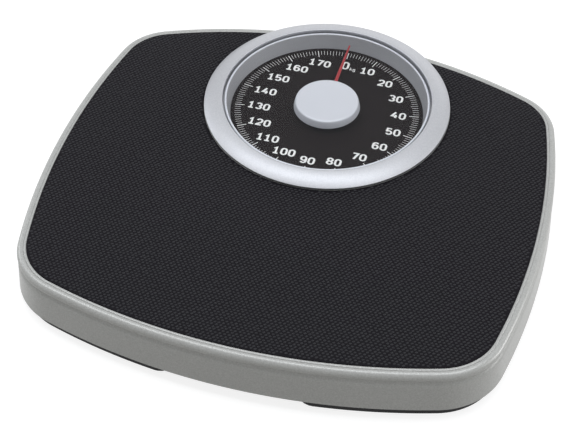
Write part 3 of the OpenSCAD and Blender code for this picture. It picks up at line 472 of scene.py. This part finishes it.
def cover_section():
    """The rim from the top of the deck, over the step and the bead, down the skirt and back inside."""
    bead_z = MAT_TOP - BEAD_DROP
    neck = BEAD_OUT + BEAD_R
    inside = neck - SHEET_T
    under = DECK_Z - SHEET_T
    deck = offsets((0.0, DECK_Z), ((-DECK_LAP, 0.0), (-0.6, 0.0), (0.08, 0.0)))
    step = offsets((0.0, MAT_TOP), ((0.12, 0.85), (0.26, 0.6), (0.55, 0.5), (1.5, 0.6), (1.9, 0.8),
                                    (2.15, 1.25)))
    bead = ellipse(BEAD_OUT, bead_z, BEAD_R, BEAD_R, 104, -52, 30)
    waist = offsets((neck, bead_z), ((-1.62, 3.45), (-1.55, 3.8), (-1.3, 4.4), (-0.9, 5.0), (-0.45, 5.6),
                                     (0.0, SKIRT_DROP)))
    flare, fall = RIM_W - neck, SKIRT_Z - bead_z + SKIRT_DROP
    skirt = [(neck + flare * k / SKIRT_ROWS, bead_z - SKIRT_DROP + fall * k / SKIRT_ROWS)
             for k in range(1, SKIRT_ROWS)]
    foot = [(RIM_W - 0.06, SKIRT_Z + 0.5), (RIM_W, SKIRT_Z + CUT_EDGE_R), (RIM_W - CUT_EDGE_R, SKIRT_Z),
            (RIM_W - SHEET_T + CUT_EDGE_R, SKIRT_Z), (RIM_W - SHEET_T, SKIRT_Z + CUT_EDGE_R)]
    back = offsets((inside, bead_z), ((0.0, SKIRT_DROP), (-0.6, 5.5), (-1.45, 4.5), (-1.6, 3.4)))
    hollow = ellipse(BEAD_OUT, bead_z, BEAD_R - SHEET_T, BEAD_R - SHEET_T, -46, 84, 15)
    underside = [(BEAD_OUT - 1.6, under), (-DECK_LAP, under)]
    return deck + step + bead + waist + skirt + foot + back + hollow + underside


def make_cover():
    """The deck, with its hole under the dial, and the rim round it, as one pressed sheet."""
    section = cover_section()
    line = stations(ARCS)
    verts = []
    for p, n in line:
        hole = (p + n * -DECK_LAP - DIAL_AXIS).normalized() * DECK_HOLE_R + DIAL_AXIS
        verts.append((hole.x, hole.y, DECK_Z))
        for o, z in section:
            q = p + n * o
            if z > DECK_Z - PRESSED_FLAT and (q - DIAL_AXIS).length < MAT_HOLE_R + PRESSED_PAST_MAT:
                z = DECK_Z - PRESSED_FLAT
            verts.append((q.x, q.y, z))
        verts.append((hole.x, hole.y, DECK_Z - SHEET_T))
    return mesh_object("cover", verts, ring_faces(len(line), len(section) + 2))


place(paint(make_cover(), SILVER_ENAMEL), "platform", "cover_paint", "platform_cover")


# ---------------------------------------------------------------- mat and its grain

def mat_loop(inset):
    """The mat's edge, inset by some millimetres: round the outline to the horn tips, then round the dial."""
    hole = MAT_HOLE_R + inset
    edge = REAR_R - inset
    gap = (DIAL_AXIS - MAT_REAR).length
    along = (gap * gap + edge * edge - hole * hole) / (2 * gap)
    tip = Vector((math.sqrt(edge * edge - along * along), MAT_REAR.y + along))
    half = []
    for centre, radius, start, end, _ in MAT_ARCS:
        steps = arc_steps(start, end, radius)
        if centre is MAT_REAR:
            end, steps = heading(MAT_REAR, tip), HORN_STEPS
        for i in range(steps):
            half.append(centre + (radius - inset) * unit_at(start + (end - start) * i / steps))
    half.append(tip)
    tip_angle = heading(DIAL_AXIS, tip)
    turn = -math.pi - 2 * tip_angle
    ring = [DIAL_AXIS + hole * unit_at(tip_angle + turn * i / HOLE_STEPS) for i in range(1, HOLE_STEPS)]
    return half + ring + [Vector((-p.x, p.y)) for p in reversed(half[1:])]


def make_mat():
    """The mat's base, with an eased top edge."""
    profile = offsets((MAT_PLAY, MAT_BASE), ((0.0, 0.35), (0.12, 0.1), (0.4, 0.0)))
    profile = [(MAT_PLAY, DECK_Z)] + profile
    loops = [mat_loop(inset) for inset, _ in profile]
    rows, count = len(profile), len(loops[0])
    verts = [(p.x, p.y, z) for loop, (_, z) in zip(loops, profile) for p in loop]
    faces = []
    for r in range(rows - 1):
        here, there = r * count, (r + 1) * count
        for i in range(count):
            k = (i + 1) % count
            faces.append((here + i, here + k, there + k, there + i))
    faces.append(tuple(range((rows - 1) * count, rows * count)))
    faces.append(tuple(reversed(range(count))))
    return mesh_object("mat", verts, faces)


place(paint(make_mat(), MAT_RUBBER), "platform", "mat_rubber", "platform_mat")


def new_tree(name, sockets):
    """A geometry tree with named inputs; returns it with its input node and their identifiers."""
    tree = bpy.data.node_groups.new(name, "GeometryNodeTree")
    tree.interface.new_socket("Geometry", in_out="INPUT", socket_type="NodeSocketGeometry")
    tree.interface.new_socket("Geometry", in_out="OUTPUT", socket_type="NodeSocketGeometry")
    identifiers = {}
    for label, kind in sockets:
        made = tree.interface.new_socket(label, in_out="INPUT", socket_type="NodeSocket" + kind)
        identifiers[label] = made.identifier
    return tree, add(tree, "NodeGroupInput"), identifiers


def close_tree(tree, source, inputs):
    """Ends a tree with real geometry in its material."""
    real = add(tree, "GeometryNodeRealizeInstances", {"Geometry": source})
    painted = add(tree, "GeometryNodeSetMaterial", {
        "Geometry": (real, "Geometry"), "Material": (inputs, "Material")})
    add(tree, "NodeGroupOutput", {"Geometry": (painted, "Geometry")})


def grown(name, base, tree, identifiers, values):
    """A piece made by a geometry tree on a base mesh, as plain mesh."""
    obj = linked(name, base)
    modifier = obj.modifiers.new(name, "NODES")
    modifier.node_group = tree
    for label, value in values.items():
        modifier[identifiers[label]] = value
    return baked(obj)


# Each grain looks for the mat from this far above it, in metres.
LOOK_DOWN = 0.01


def grain_tree():
    """Rows of small raised grains, every other row half a step along, wherever the mat lies below."""
    tree, source, ids = new_tree("mat_grain", [
        ("Step Across", "Float"), ("Step Along", "Float"), ("Across", "Int"), ("Along", "Int"),
        ("Height", "Float"), ("Turn", "Float"), ("Spread", "Float"), ("Nudge", "Float"), ("Seed", "Int"),
        ("Grain", "Object"), ("Material", "Material")])
    less_x = add(tree, MATH, {0: (source, "Across"), 1: 1.0}, operation="SUBTRACT")
    less_y = add(tree, MATH, {0: (source, "Along"), 1: 1.0}, operation="SUBTRACT")
    wide = add(tree, MATH, {0: (less_x, 0), 1: (source, "Step Across")}, operation="MULTIPLY")
    deep = add(tree, MATH, {0: (less_y, 0), 1: (source, "Step Along")}, operation="MULTIPLY")
    grid = add(tree, "GeometryNodeMeshGrid", {
        "Size X": (wide, 0), "Size Y": (deep, 0),
        "Vertices X": (source, "Across"), "Vertices Y": (source, "Along")})
    here = add(tree, "GeometryNodeInputPosition")
    split = add(tree, "ShaderNodeSeparateXYZ", {0: (here, 0)})
    rows = add(tree, MATH, {0: (split, "Y"), 1: (source, "Step Along")}, operation="DIVIDE")
    row = add(tree, MATH, {0: (rows, 0)}, operation="ROUND")
    odd = add(tree, MATH, {0: (row, 0), 1: 2.0}, operation="FLOORED_MODULO")
    half = add(tree, MATH, {0: (source, "Step Across"), 1: 0.5}, operation="MULTIPLY")
    slide = add(tree, MATH, {0: (odd, 0), 1: (half, 0)}, operation="MULTIPLY")
    offset = add(tree, COMBINE, {"X": (slide, 0), "Z": (source, "Height")})
    stray = add(tree, RANDOM, {"Min": (-1.0, -1.0, 0.0), "Max": (1.0, 1.0, 0.0), "Seed": (source, "Seed")},
                data_type="FLOAT_VECTOR")
    nudge = add(tree, VECTOR_MATH, {0: (stray, "Value"), "Scale": (source, "Nudge")}, operation="SCALE")
    moved = add(tree, VECTOR_MATH, {0: (offset, 0), 1: (nudge, 0)}, operation="ADD")
    shifted = add(tree, "GeometryNodeSetPosition", {"Geometry": (grid, "Mesh"), "Offset": (moved, 0)})
    above = add(tree, VECTOR_MATH, {0: (here, 0), 1: (0.0, 0.0, LOOK_DOWN)}, operation="ADD")
    ray = add(tree, "GeometryNodeRaycast", {
        "Target Geometry": (source, "Geometry"), "Source Position": (above, 0),
        "Ray Direction": (0.0, 0.0, -1.0), "Ray Length": 2 * LOOK_DOWN})
    wander = add(tree, RANDOM, {"Min": -1.0, "Max": 1.0, "Seed": (source, "Seed")}, data_type="FLOAT")
    bend = add(tree, MATH, {0: (wander, "Value"), 1: (source, "Spread")}, operation="MULTIPLY")
    angle = add(tree, MATH, {0: (source, "Turn"), 1: (bend, 0)}, operation="ADD")
    spin = add(tree, COMBINE, {"Z": (angle, 0)})
    grain = add(tree, "GeometryNodeObjectInfo", {"Object": (source, "Grain")})
    swell = add(tree, RANDOM, {"Min": 0.9, "Max": 1.06, "Seed": (source, "Seed")}, data_type="FLOAT")
    copies = add(tree, "GeometryNodeInstanceOnPoints", {
        "Points": (shifted, "Geometry"), "Selection": (ray, "Is Hit"), "Instance": (grain, "Geometry"),
        "Rotation": (spin, 0), "Scale": (swell, "Value")})
    close_tree(tree, (copies, "Instances"), source)
    return tree, ids


def make_grain_shape():
    """One grain: a hipped ridge like a rice grain, sunk a little into the mat."""
    long, wide, waist, crest, sunk = 1.35, 0.82, 0.75, 0.7, -0.03
    verts = [(-long, 0, sunk), (-waist, -wide, sunk), (waist, -wide, sunk), (long, 0, sunk),
             (waist, wide, sunk), (-waist, wide, sunk), (-crest, 0, GRAIN_HEIGHT), (crest, 0, GRAIN_HEIGHT)]
    faces = [(0, 1, 6), (1, 2, 7, 6), (2, 3, 7), (3, 4, 7), (4, 5, 6, 7), (5, 0, 6)]
    return bpy.data.objects.new("grain_shape", raw_mesh("grain_shape", verts, faces))


def make_grains():
    """The mat's field of grains."""
    field = mat_loop(GRAIN_FIELD_INSET)
    base = raw_mesh("grain_field", [(p.x, p.y, MAT_BASE) for p in field], [tuple(range(len(field)))])
    tree, ids = grain_tree()
    shape = make_grain_shape()
    piece = grown("mat_grain", base, tree, ids, {
        "Step Across": 3.30 * MM, "Step Along": 2.30 * MM, "Across": 121, "Along": 161,
        "Height": MAT_BASE * MM, "Turn": math.radians(28.0), "Spread": math.radians(14.0), "Nudge": 0.24 * MM,
        "Seed": 7, "Grain": shape, "Material": MAT_GRAIN_PAINTED_LIGHT})
    bpy.data.objects.remove(shape)
    return piece


# The grains are painted lighter than the mat under them: painted light on their tops against painted shade in
# the gaps.
place(make_grains(), "platform", "mat_rubber")


# ---------------------------------------------------------------- bezel, well, lens

def make_bezel():
    """A crowned ring: low outer edge over the mat, rising to a rolled inner edge, hollow beneath."""
    inner_t, foot_set, foot_t = 1.8, 2.8, 2.0
    inner_r, foot_r = BEZEL_IN_R + inner_t, BEZEL_R - foot_set
    outside = offsets((BEZEL_R, MAT_TOP), ((-0.5, -0.2), (-0.12, -0.36), (0.0, -0.7)))
    top = crown((BEZEL_R, MAT_TOP + 1.3), (BEZEL_IN_R + 1.1, BEZEL_TOP), BEZEL_CROWN_R, 22)
    roll = offsets((BEZEL_IN_R, BEZEL_TOP), ((0.62, 0.03), (0.25, 0.16), (0.06, 0.4), (0.0, 0.75)))
    wall = [(BEZEL_IN_R, FLANGE_TOP), (inner_r, FLANGE_TOP)]
    under = crown((inner_r, BEZEL_TOP - inner_t), (foot_r - foot_t, MAT_TOP + 0.9), BEZEL_CROWN_R, 8)
    foot = [(foot_r - foot_t, DECK_Z), (foot_r, DECK_Z), (foot_r, MAT_TOP + 0.2)]
    return lathe("bezel", outside + top + roll + wall + under + foot, RING_STEPS)


place(paint(make_bezel(), SILVER_ABS), "platform", "silver_plastic", "dial_bezel")


def make_well():
    """The well round the dial: a rounded edge, a sloping wall and the screw flange."""
    dial_play, hole_play, ledge_w = 0.02, 0.3, 2.0
    rim, spigot, ledge = LIP_R + WELL_T, DECK_HOLE_R - hole_play, DIAL_R - ledge_w
    seat = [(DIAL_R + dial_play, dial_low.z), (DIAL_R + dial_play, DIAL_TOP), (DIAL_R + 0.3, DIAL_TOP + 0.6)]
    edge = offsets((LIP_R, LIP_Z), ((-0.45, 1.6), (-0.22, 0.7), (-0.05, 0.32), (0.2, 0.08), (0.5, 0.0),
                                    (1.0, 0.0), (1.3, 0.1)))
    flange = [(rim, LIP_Z - 0.35), (rim, FLANGE_TOP), (FLANGE_R, FLANGE_TOP), (FLANGE_R, DECK_Z),
              (spigot, DECK_Z), (spigot, DECK_Z - SHEET_T - 1.0)]
    bowl = [(DIAL_R + WELL_T, DIAL_TOP - 0.5), (DIAL_R + WELL_T, well_low.z), (ledge, well_low.z),
            (ledge, dial_low.z)]
    return lathe("well", seat + edge + flange + bowl, RING_STEPS)


place(paint(make_well(), SILVER_WELL), "platform", "well_plastic", "dial_well")


def make_lip():
    """The lip on the well's edge: a fine rounded ring that catches the light, painted paler than the well as
    a painted highlight.
    """
    inner, outer, foot = LIP_R - 0.1, LIP_R + WELL_T + LIP_LIFT, LIP_Z - 0.55
    top = [(LIP_R + out, LIP_Z - down + LIP_LIFT)
           for out, down in ((-0.1, 0.28), (0.15, 0.08), (0.5, 0.0), (1.0, 0.0), (1.3, 0.1))]
    return lathe("well_lip", [(inner, foot)] + top + [(outer, LIP_Z - 0.33), (outer, foot)], RING_STEPS)


# The lip is painted in the cap's paler lacquer: a painted highlight on the well's edge.
place(paint(make_lip(), CAP_LACQUER_AND_LIP_HIGHLIGHT), "platform", "well_plastic")


def make_lens():
    """The clear disc over the dial, with eased edges."""
    r, z0, z1 = lens_high.x, lens_low.z, lens_high.z
    profile = [(0.0, z0), (r - LENS_EASE, z0), (r, z0 + LENS_EASE), (r, z1 - LENS_EASE), (r - LENS_EASE, z1),
               (0.0, z1)]
    return lathe("lens", profile, DISC_STEPS, closed=False)


place(paint(make_lens(), CLEAR_STYRENE), "platform", "clear_plastic", "dial_lens")


# ---------------------------------------------------------------- dial markings

def tick_tree():
    """Radial graduations, longer at every fifth and longest and widest at every tenth."""
    tree, source, ids = new_tree("dial_graduations", [
        ("Count", "Int"), ("Outer Radius", "Float"), ("Short", "Float"), ("Middle", "Float"),
        ("Long", "Float"), ("Width", "Float"), ("Long Width", "Float"), ("Ink", "Float"),
        ("Centre", "Vector"), ("Material", "Material")])
    row = add(tree, "GeometryNodeMeshLine", {"Count": (source, "Count")})
    index = add(tree, "GeometryNodeInputIndex")
    turn = add(tree, MATH, {0: 2 * math.pi, 1: (source, "Count")}, operation="DIVIDE")
    angle = add(tree, MATH, {0: (index, 0), 1: (turn, 0)}, operation="MULTIPLY")
    sine = add(tree, MATH, {0: (angle, 0)}, operation="SINE")
    cosine = add(tree, MATH, {0: (angle, 0)}, operation="COSINE")
    unit = add(tree, COMBINE, {"X": (sine, 0), "Y": (cosine, 0)})
    reach = add(tree, VECTOR_MATH, {0: (unit, 0), "Scale": (source, "Outer Radius")}, operation="SCALE")
    at = add(tree, VECTOR_MATH, {0: (reach, 0), 1: (source, "Centre")}, operation="ADD")
    points = add(tree, "GeometryNodeSetPosition", {"Geometry": (row, "Mesh"), "Position": (at, 0)})
    fifth = add(tree, MATH, {0: (index, 0), 1: 5.0}, operation="MODULO")
    tenth = add(tree, MATH, {0: (index, 0), 1: 10.0}, operation="MODULO")
    is_fifth = add(tree, MATH, {0: (fifth, 0), 1: 0.5}, operation="LESS_THAN")
    is_tenth = add(tree, MATH, {0: (tenth, 0), 1: 0.5}, operation="LESS_THAN")
    middle = add(tree, MIX, {"Factor": (is_fifth, 0), "A": (source, "Short"), "B": (source, "Middle")})
    length = add(tree, MIX, {"Factor": (is_tenth, 0), "A": (middle, "Result"), "B": (source, "Long")})
    width = add(tree, MIX, {"Factor": (is_tenth, 0), "A": (source, "Width"), "B": (source, "Long Width")})
    size = add(tree, COMBINE, {"X": (width, "Result"), "Y": (length, "Result"), "Z": (source, "Ink")})
    away = add(tree, MATH, {0: (angle, 0), 1: -1.0}, operation="MULTIPLY")
    spin = add(tree, COMBINE, {"Z": (away, 0)})
    bar = add(tree, "GeometryNodeMeshCube", {"Size": (1.0, 1.0, 1.0)})
    inward = add(tree, "GeometryNodeTransform", {"Geometry": (bar, "Mesh"), "Translation": (0.0, -0.5, 0.5)})
    copies = add(tree, "GeometryNodeInstanceOnPoints", {
        "Points": (points, "Geometry"), "Instance": (inward, "Geometry"),
        "Rotation": (spin, 0), "Scale": (size, 0)})
    close_tree(tree, (copies, "Instances"), source)
    return tree, ids


def make_ticks():
    """The dial's ring of printed graduations."""
    tree, ids = tick_tree()
    return grown("dial_graduations", bpy.data.meshes.new("dial_graduations"), tree, ids, {
        "Count": 180, "Outer Radius": TICK_OUT * MM, "Short": 5.0 * MM, "Middle": 6.0 * MM, "Long": 7.8 * MM,
        "Width": 0.27 * MM, "Long Width": 0.6 * MM, "Ink": INK_T * MM,
        "Centre": (0.0, DIAL_Y * MM, DIAL_TOP * MM), "Material": DIAL_INK})


place(make_ticks(), "platform")


def figure(sign, w, h):
    """Centre lines of a wide-set figure in a box w wide and h high; True marks a closed line."""
    r = w / 2

    def bowl(cy, ry, rx=r):
        """A closed loop across the box, centred at a height."""
        return ellipse(r, cy, rx, ry, 0, 360, 24)[:-1], True

    def stroke(*points):
        return list(points), False

    if sign == "0":
        return [(ellipse(r, h - r, r, r, 0, 180, 14) + ellipse(r, r, r, r, 180, 360, 14), True)]
    if sign == "1":
        return [stroke((0.02 * w, h - 0.24 * h), (0.5 * w, h), (0.5 * w, 0)), stroke((0, 0), (w, 0))]
    if sign == "2":
        neck = ellipse(r, h - r, r, r, 165, -20, 14)
        return [stroke(*neck, (0.86 * w, 0.47 * h), (0, 0.06 * h), (0, 0), (w, 0))]
    if sign == "3":
        top = 0.27 * h
        return [stroke(*ellipse(r, h - top, 0.92 * r, top, 155, -90, 16)),
                stroke(*ellipse(r, 0.24 * h, r, 0.24 * h, 90, -155, 16))]
    if sign == "4":
        return [stroke((0.62 * w, h), (-0.02 * w, 0.27 * h), (1.05 * w, 0.27 * h)),
                stroke((0.72 * w, 0), (0.72 * w, 0.55 * h))]
    if sign == "5":
        low = 0.3 * h
        belly = ellipse(r, low, r, low, 130, -155, 18)
        return [stroke((0.95 * w, h), (0.1 * w, h), (0.04 * w, 0.53 * h), *belly)]
    if sign == "6":
        low = 0.31 * h
        return [bowl(low, low), stroke(*ellipse(r, h - r, r, r, 30, 180, 12), (0, low))]
    if sign == "7":
        return [stroke((0, h), (w, h), (0.36 * w, 0))]
    if sign == "8":
        top = 0.245 * h
        return [bowl(h - top, top, 0.92 * r), bowl(0.255 * h, 0.255 * h)]
    if sign == "9":
        top = 0.31 * h
        return [bowl(h - top, top), stroke(*ellipse(r, r, r, r, -150, 0, 12), (w, h - top))]
    if sign == "k":
        return [stroke((0, 1.45 * h), (0, 0)), stroke((w, h), (0.12 * w, 0.42 * h)),
                stroke((0.3 * w, 0.55 * h), (w, 0))]
    tail = ellipse(r, -0.1 * h, r, 0.36 * h, 0, -150, 10)
    return [bowl(0.5 * h, 0.5 * h), stroke((w, h), (w, -0.1 * h), *tail)]


def ribbon(points, closed, width):
    """The two sides of a line of that width, mitred at its corners, thinner where it runs level."""
    line = [Vector(p) for p in points]
    count, left, right = len(line), [], []
    for i, p in enumerate(line):
        before = line[i - 1] if closed or i > 0 else None
        after = line[(i + 1) % count] if closed or i < count - 1 else None
        spans = [(a, b) for a, b in ((before, p), (p, after)) if a is not None and b is not None]
        ways = [(b - a).normalized() for a, b in spans]
        normals = [Vector((-d.y, d.x)) for d in ways]
        mean = sum(normals, Vector((0, 0))).normalized()
        reach = width / 2 / max(SHARPEST_MITRE, mean.dot(normals[0]))
        half = Vector((mean.x, mean.y * THIN_STROKE)) * reach
        left.append(p + half)
        right.append(p - half)
    return left, right


def write(verts, faces, text, at, height, pitch, width, weight):
    """Adds the flat, slightly raised figures of a number, centred at a point of the dial."""
    h, w = height - weight, width - weight
    start = -((len(text) - 1) * pitch + w) / 2
    for k, sign in enumerate(text):
        for layer, (points, closed) in enumerate(figure(sign, w, h)):
            left, right = ribbon(points, closed, weight)
            count, base = len(left), len(verts)
            for ink in (0.0, 1.0):
                for i, p in enumerate(left + right):
                    z = DIAL_TOP + ink * (INK_T + LAYER_T * (layer + LAYER_RISE * (i % count) / count))
                    verts.append((at.x + start + k * pitch + p.x, at.y - h / 2 + p.y, z))
            top = base + 2 * count
            for i in range(count if closed else count - 1):
                j = (i + 1) % count
                faces.append((top + i, top + j, top + count + j, top + count + i))
                faces.append((base + i, base + count + i, base + count + j, base + j))
                faces.append((base + i, base + j, top + j, top + i))
                faces.append((base + count + j, base + count + i, top + count + i, top + count + j))
            if not closed:
                for i in (0, count - 1):
                    faces.append((base + i, base + count + i, top + count + i, top + i))


def make_numbers():
    """The tens round the dial, then the nought and its small unit at the top."""
    verts, faces = [], []
    tens = 18
    height, width, pitch, weight = 8.5, 5.8, 6.45, 1.75
    nought_at, unit_mark_at = Vector((1.3, DIAL_Y + 59)), Vector((8.0, DIAL_Y + 55.3))
    for k in range(1, tens):
        text = str(10 * k)
        around = math.radians(360 / tens * k)
        half_w = ((len(text) - 1) * pitch + width) / 2
        out = FIGURE_RING_R - math.hypot(half_w * math.sin(around), height / 2 * math.cos(around))
        at = Vector((out * math.sin(around), DIAL_Y + out * math.cos(around)))
        write(verts, faces, text, at, height, pitch, width, weight)
    write(verts, faces, "0", nought_at, height=10.0, pitch=pitch, width=6.2, weight=1.85)
    write(verts, faces, "kg", unit_mark_at, height=3.0, pitch=2.6, width=2.1, weight=0.55)
    return mesh_object("dial_numbers", verts, faces, smooth=False)


place(paint(make_numbers(), DIAL_INK), "platform")


# ---------------------------------------------------------------- needle and hub cap

def make_needle():
    """A thin stamped needle with eased edges, its ring round the cap's boss, and its balancing tail."""
    z0, z1 = needle_low.z, needle_high.z
    tip, tail = needle_high.y - DIAL_Y, needle_low.y
    half, tip_half, ease = 1.7, 0.65, 0.12
    root, tail_half = 5, 3.4
    ring_steps, ring_in, ring_out = 48, 4.02, 7.0
    verts, faces = [], []
    for z, inset in ((z0, 0.0), (z1 - ease, 0.0), (z1, ease)):
        verts += [(-half + inset, DIAL_Y + root, z), (half - inset, DIAL_Y + root, z),
                  (tip_half - inset, DIAL_Y + tip - tip_half, z), (0, DIAL_Y + tip - inset, z),
                  (-tip_half + inset, DIAL_Y + tip - tip_half, z)]
    corners = 5
    for r in range(2):
        for i in range(corners):
            a, b = r * corners + i, r * corners + (i + 1) % corners
            faces.append((a, b, b + corners, a + corners))
    faces += [(4, 3, 2, 1, 0), (10, 11, 12, 13, 14)]
    faces += ring_faces(ring_steps, 4, base=len(verts))
    for i in range(ring_steps):
        angle = 2 * math.pi * i / ring_steps
        for r, z in ((ring_in, z0), (ring_out, z0), (ring_out, z1), (ring_in, z1)):
            verts.append((r * math.cos(angle), DIAL_Y + r * math.sin(angle), z))
    faces += block_faces(base=len(verts))
    verts += block_points((-tail_half, tail_half), (tail, DIAL_Y - root), (z0, z1))
    return mesh_object("needle_bar", verts, faces)


place(paint(make_needle(), NEEDLE_RED), "pointer", "needle_red", "needle")


def make_cap():
    """The hub cap: a barely crowned turned cap with a soft shoulder, notched for the needle."""
    low, high, r = cap_low.z, cap_high.z, cap_high.x
    top = r - 1.2
    crowned = ((0.0, 0.0), (0.3, 0.06), (0.55, 0.24), (0.78, 0.52))
    face = [(share * top, high - down) for share, down in crowned]
    shoulder = offsets((top, high), ((-2.2, 0.82), (-1.2, 1.0), (-0.55, 1.28), (-0.18, 1.7), (0.02, 2.2)))
    skirt = [(r - 0.05, low + 0.4), (r, low), (r - 1.5, low)]
    hollow = [(top - 1.5, high - 2.9), (top - 2.5, high - 2.4), (0.0, high - 1.6)]
    cap = lathe("hub_cap_shell", face + shoulder + skirt + hollow, DISC_STEPS, closed=False)
    notch_half, notch_play, notch_root = 2.1, 0.3, 8
    notch = block_points((-notch_half, notch_half), (DIAL_Y + notch_root, DIAL_Y + r + 2),
                         (needle_low.z - notch_play, needle_high.z + notch_play))
    cutter = mesh_object("notch", notch, block_faces(), smooth=False)
    cut = cap.modifiers.new("notch", "BOOLEAN")
    cut.operation, cut.solver, cut.object = "DIFFERENCE", "EXACT", cutter
    baked(cap)
    bpy.data.objects.remove(cutter)
    return cap


place(paint(make_cap(), CAP_LACQUER_AND_LIP_HIGHLIGHT), "pointer", "silver_plastic", "hub_cap")


# ---------------------------------------------------------------- the works, in their own metals

SIDES = ("left", "right")
CORNERS = [f"{end}_{side}" for end in ("front", "rear") for side in SIDES]
BRACKETS = [f"fulcrum_bracket_{corner}" for corner in CORNERS]
YOKES = [f"load_yoke_{corner}" for corner in CORNERS]
FEET = [f"foot_{corner}" for corner in CORNERS]
LEVERS = [f"{reach}_lever_{side}" for reach in ("long", "short") for side in SIDES]
LEVER_PINS = [f"{reach}_lever_pins_{side}" for reach in ("long", "short") for side in SIDES]

dress(DIAL_LACQUER, "dial_plate")
dress(TRAY_PAINT, "base_tray")
dress(FOOT_RUBBER, "zero_wheel", *FEET)
dress(ZINC_PLATE, "foot_screws", "well_screws", "mechanism_frame", "zero_bracket", "nose_plate", "bell_crank",
      *BRACKETS, *YOKES, *LEVER_PINS)
dress(DRAWN_STEEL, "bracket_rivets", "crank_pin", "rack_spring_post", "rack_spring", "main_spring",
      "zero_screw", "spindle")
dress(LEVER_STEEL, *LEVERS)
dress(TURNED_BRASS, "spindle_bush_upper", "spindle_bush_lower", "rack_guide", "rack", "pinion")


# ---------------------------------------------------------------- floor, light, camera

WHITE = (1.0, 1.0, 1.0, 1.0)
FLOOR_HALF = 6000.0
# Lamp tints: plain, and very faintly blue.
PLAIN = (1.0, 1.0, 1.0)
COOL = (0.945, 0.972, 1.0)


def seen_ray(tree):
    """1 for rays from the camera, a mirror or glass, 0 for rays that light the object."""
    path = add(tree, "ShaderNodeLightPath")
    first = add(tree, MATH, {0: (path, "Is Camera Ray"), 1: (path, "Is Glossy Ray")}, operation="ADD")
    return add(tree, MATH, {0: (first, 0), 1: (path, "Is Transmission Ray")}, operation="ADD",
               use_clamp=True)


def make_floor():
    """A pale floor that looks white and keeps the shadow, but lights the object like grey paper."""
    corners = [(x * FLOOR_HALF, y * FLOOR_HALF, 0) for x, y in ((-1, -1), (1, -1), (1, 1), (-1, 1))]
    floor = linked("floor", raw_mesh("floor", corners, [(0, 1, 2, 3)]))
    material, tree = new_material("white_paper_floor")
    seen = seen_ray(tree)
    bounce = add(tree, DIFFUSE, {"Color": linear("#726e62")})
    pale = add(tree, DIFFUSE, {"Color": linear("#9c9c9c")})
    glow = add(tree, "ShaderNodeEmission", {"Color": WHITE, "Strength": 0.82})
    shown = add(tree, "ShaderNodeAddShader", {0: (pale, 0), 1: (glow, 0)})
    mixed = add(tree, "ShaderNodeMixShader", {0: (seen, 0), 1: (bounce, 0), 2: (shown, 0)})
    add(tree, SURFACE, {"Surface": (mixed, 0)})
    floor.data.materials.append(material)


def make_world():
    """A plain studio: white where it is seen, a low even light elsewhere."""
    world = bpy.data.worlds.new("studio")
    bpy.context.scene.world = world
    world.use_nodes = True
    tree = world.node_tree
    tree.nodes.clear()
    seen = seen_ray(tree)
    level = add(tree, MAP_RANGE, {"Value": (seen, 0), "To Min": 0.36, "To Max": 1.0})
    sky = add(tree, "ShaderNodeBackground", {"Color": WHITE, "Strength": (level, 0)})
    add(tree, "ShaderNodeOutputWorld", {"Surface": (sky, 0)})


def area_lamp(name, at, aim, size, watts, tint):
    """A rectangular softbox at a place, turned to an aim, both in metres."""
    data = bpy.data.lights.new(name, "AREA")
    data.shape, data.size, data.size_y, data.energy = "RECTANGLE", size[0], size[1], watts
    data.color = tint
    lamp = linked(name, data)
    lamp.location = at
    lamp.rotation_euler = (Vector(aim) - Vector(at)).to_track_quat("-Z", "Y").to_euler()


def make_camera():
    """The camera: turned round the object, raised, and rolled a little."""
    turn, rise, roll = math.radians(15.27), math.radians(46.30), math.radians(0.52)
    at = Vector((208.7, -798.3, 862.9)) * MM
    right = Vector((math.cos(turn), math.sin(turn), 0))
    up = Vector((-math.sin(turn) * math.sin(rise), math.cos(turn) * math.sin(rise), math.cos(rise)))
    back = Vector((math.sin(turn) * math.cos(rise), -math.cos(turn) * math.cos(rise), math.sin(rise)))
    x_axis = right * math.cos(roll) + up * math.sin(roll)
    y_axis = up * math.cos(roll) - right * math.sin(roll)
    data = bpy.data.cameras.new("camera")
    data.lens, data.sensor_width = 93.65, 36.0
    camera = linked("camera", data)
    rows = [[x_axis[i], y_axis[i], back[i], at[i]] for i in range(3)]
    camera.matrix_world = Matrix(rows + [[0, 0, 0, 1]])
    bpy.context.scene.camera = camera


make_floor()
make_world()
area_lamp("overhead", (-0.2, 0.0, 1.35), aim=(-0.2, 0.0, 0.0), size=(2.3, 0.6), watts=15.5, tint=COOL)
area_lamp("rear_low", (0.0, 1.5, 0.4), aim=(0.0, 0.1, 0.04), size=(1.6, 0.5), watts=2.4, tint=PLAIN)
area_lamp("right_window", (1.5, 0.3, 0.32), aim=(0.0, 0.0, 0.03), size=(0.8, 0.6), watts=7.5, tint=PLAIN)
area_lamp("left_fill", (-1.4, 0.3, 0.5), aim=(0.0, 0.0, 0.03), size=(0.7, 0.5), watts=3.0, tint=COOL)
make_camera()
bpy.context.scene.view_settings.view_transform = "Standard"
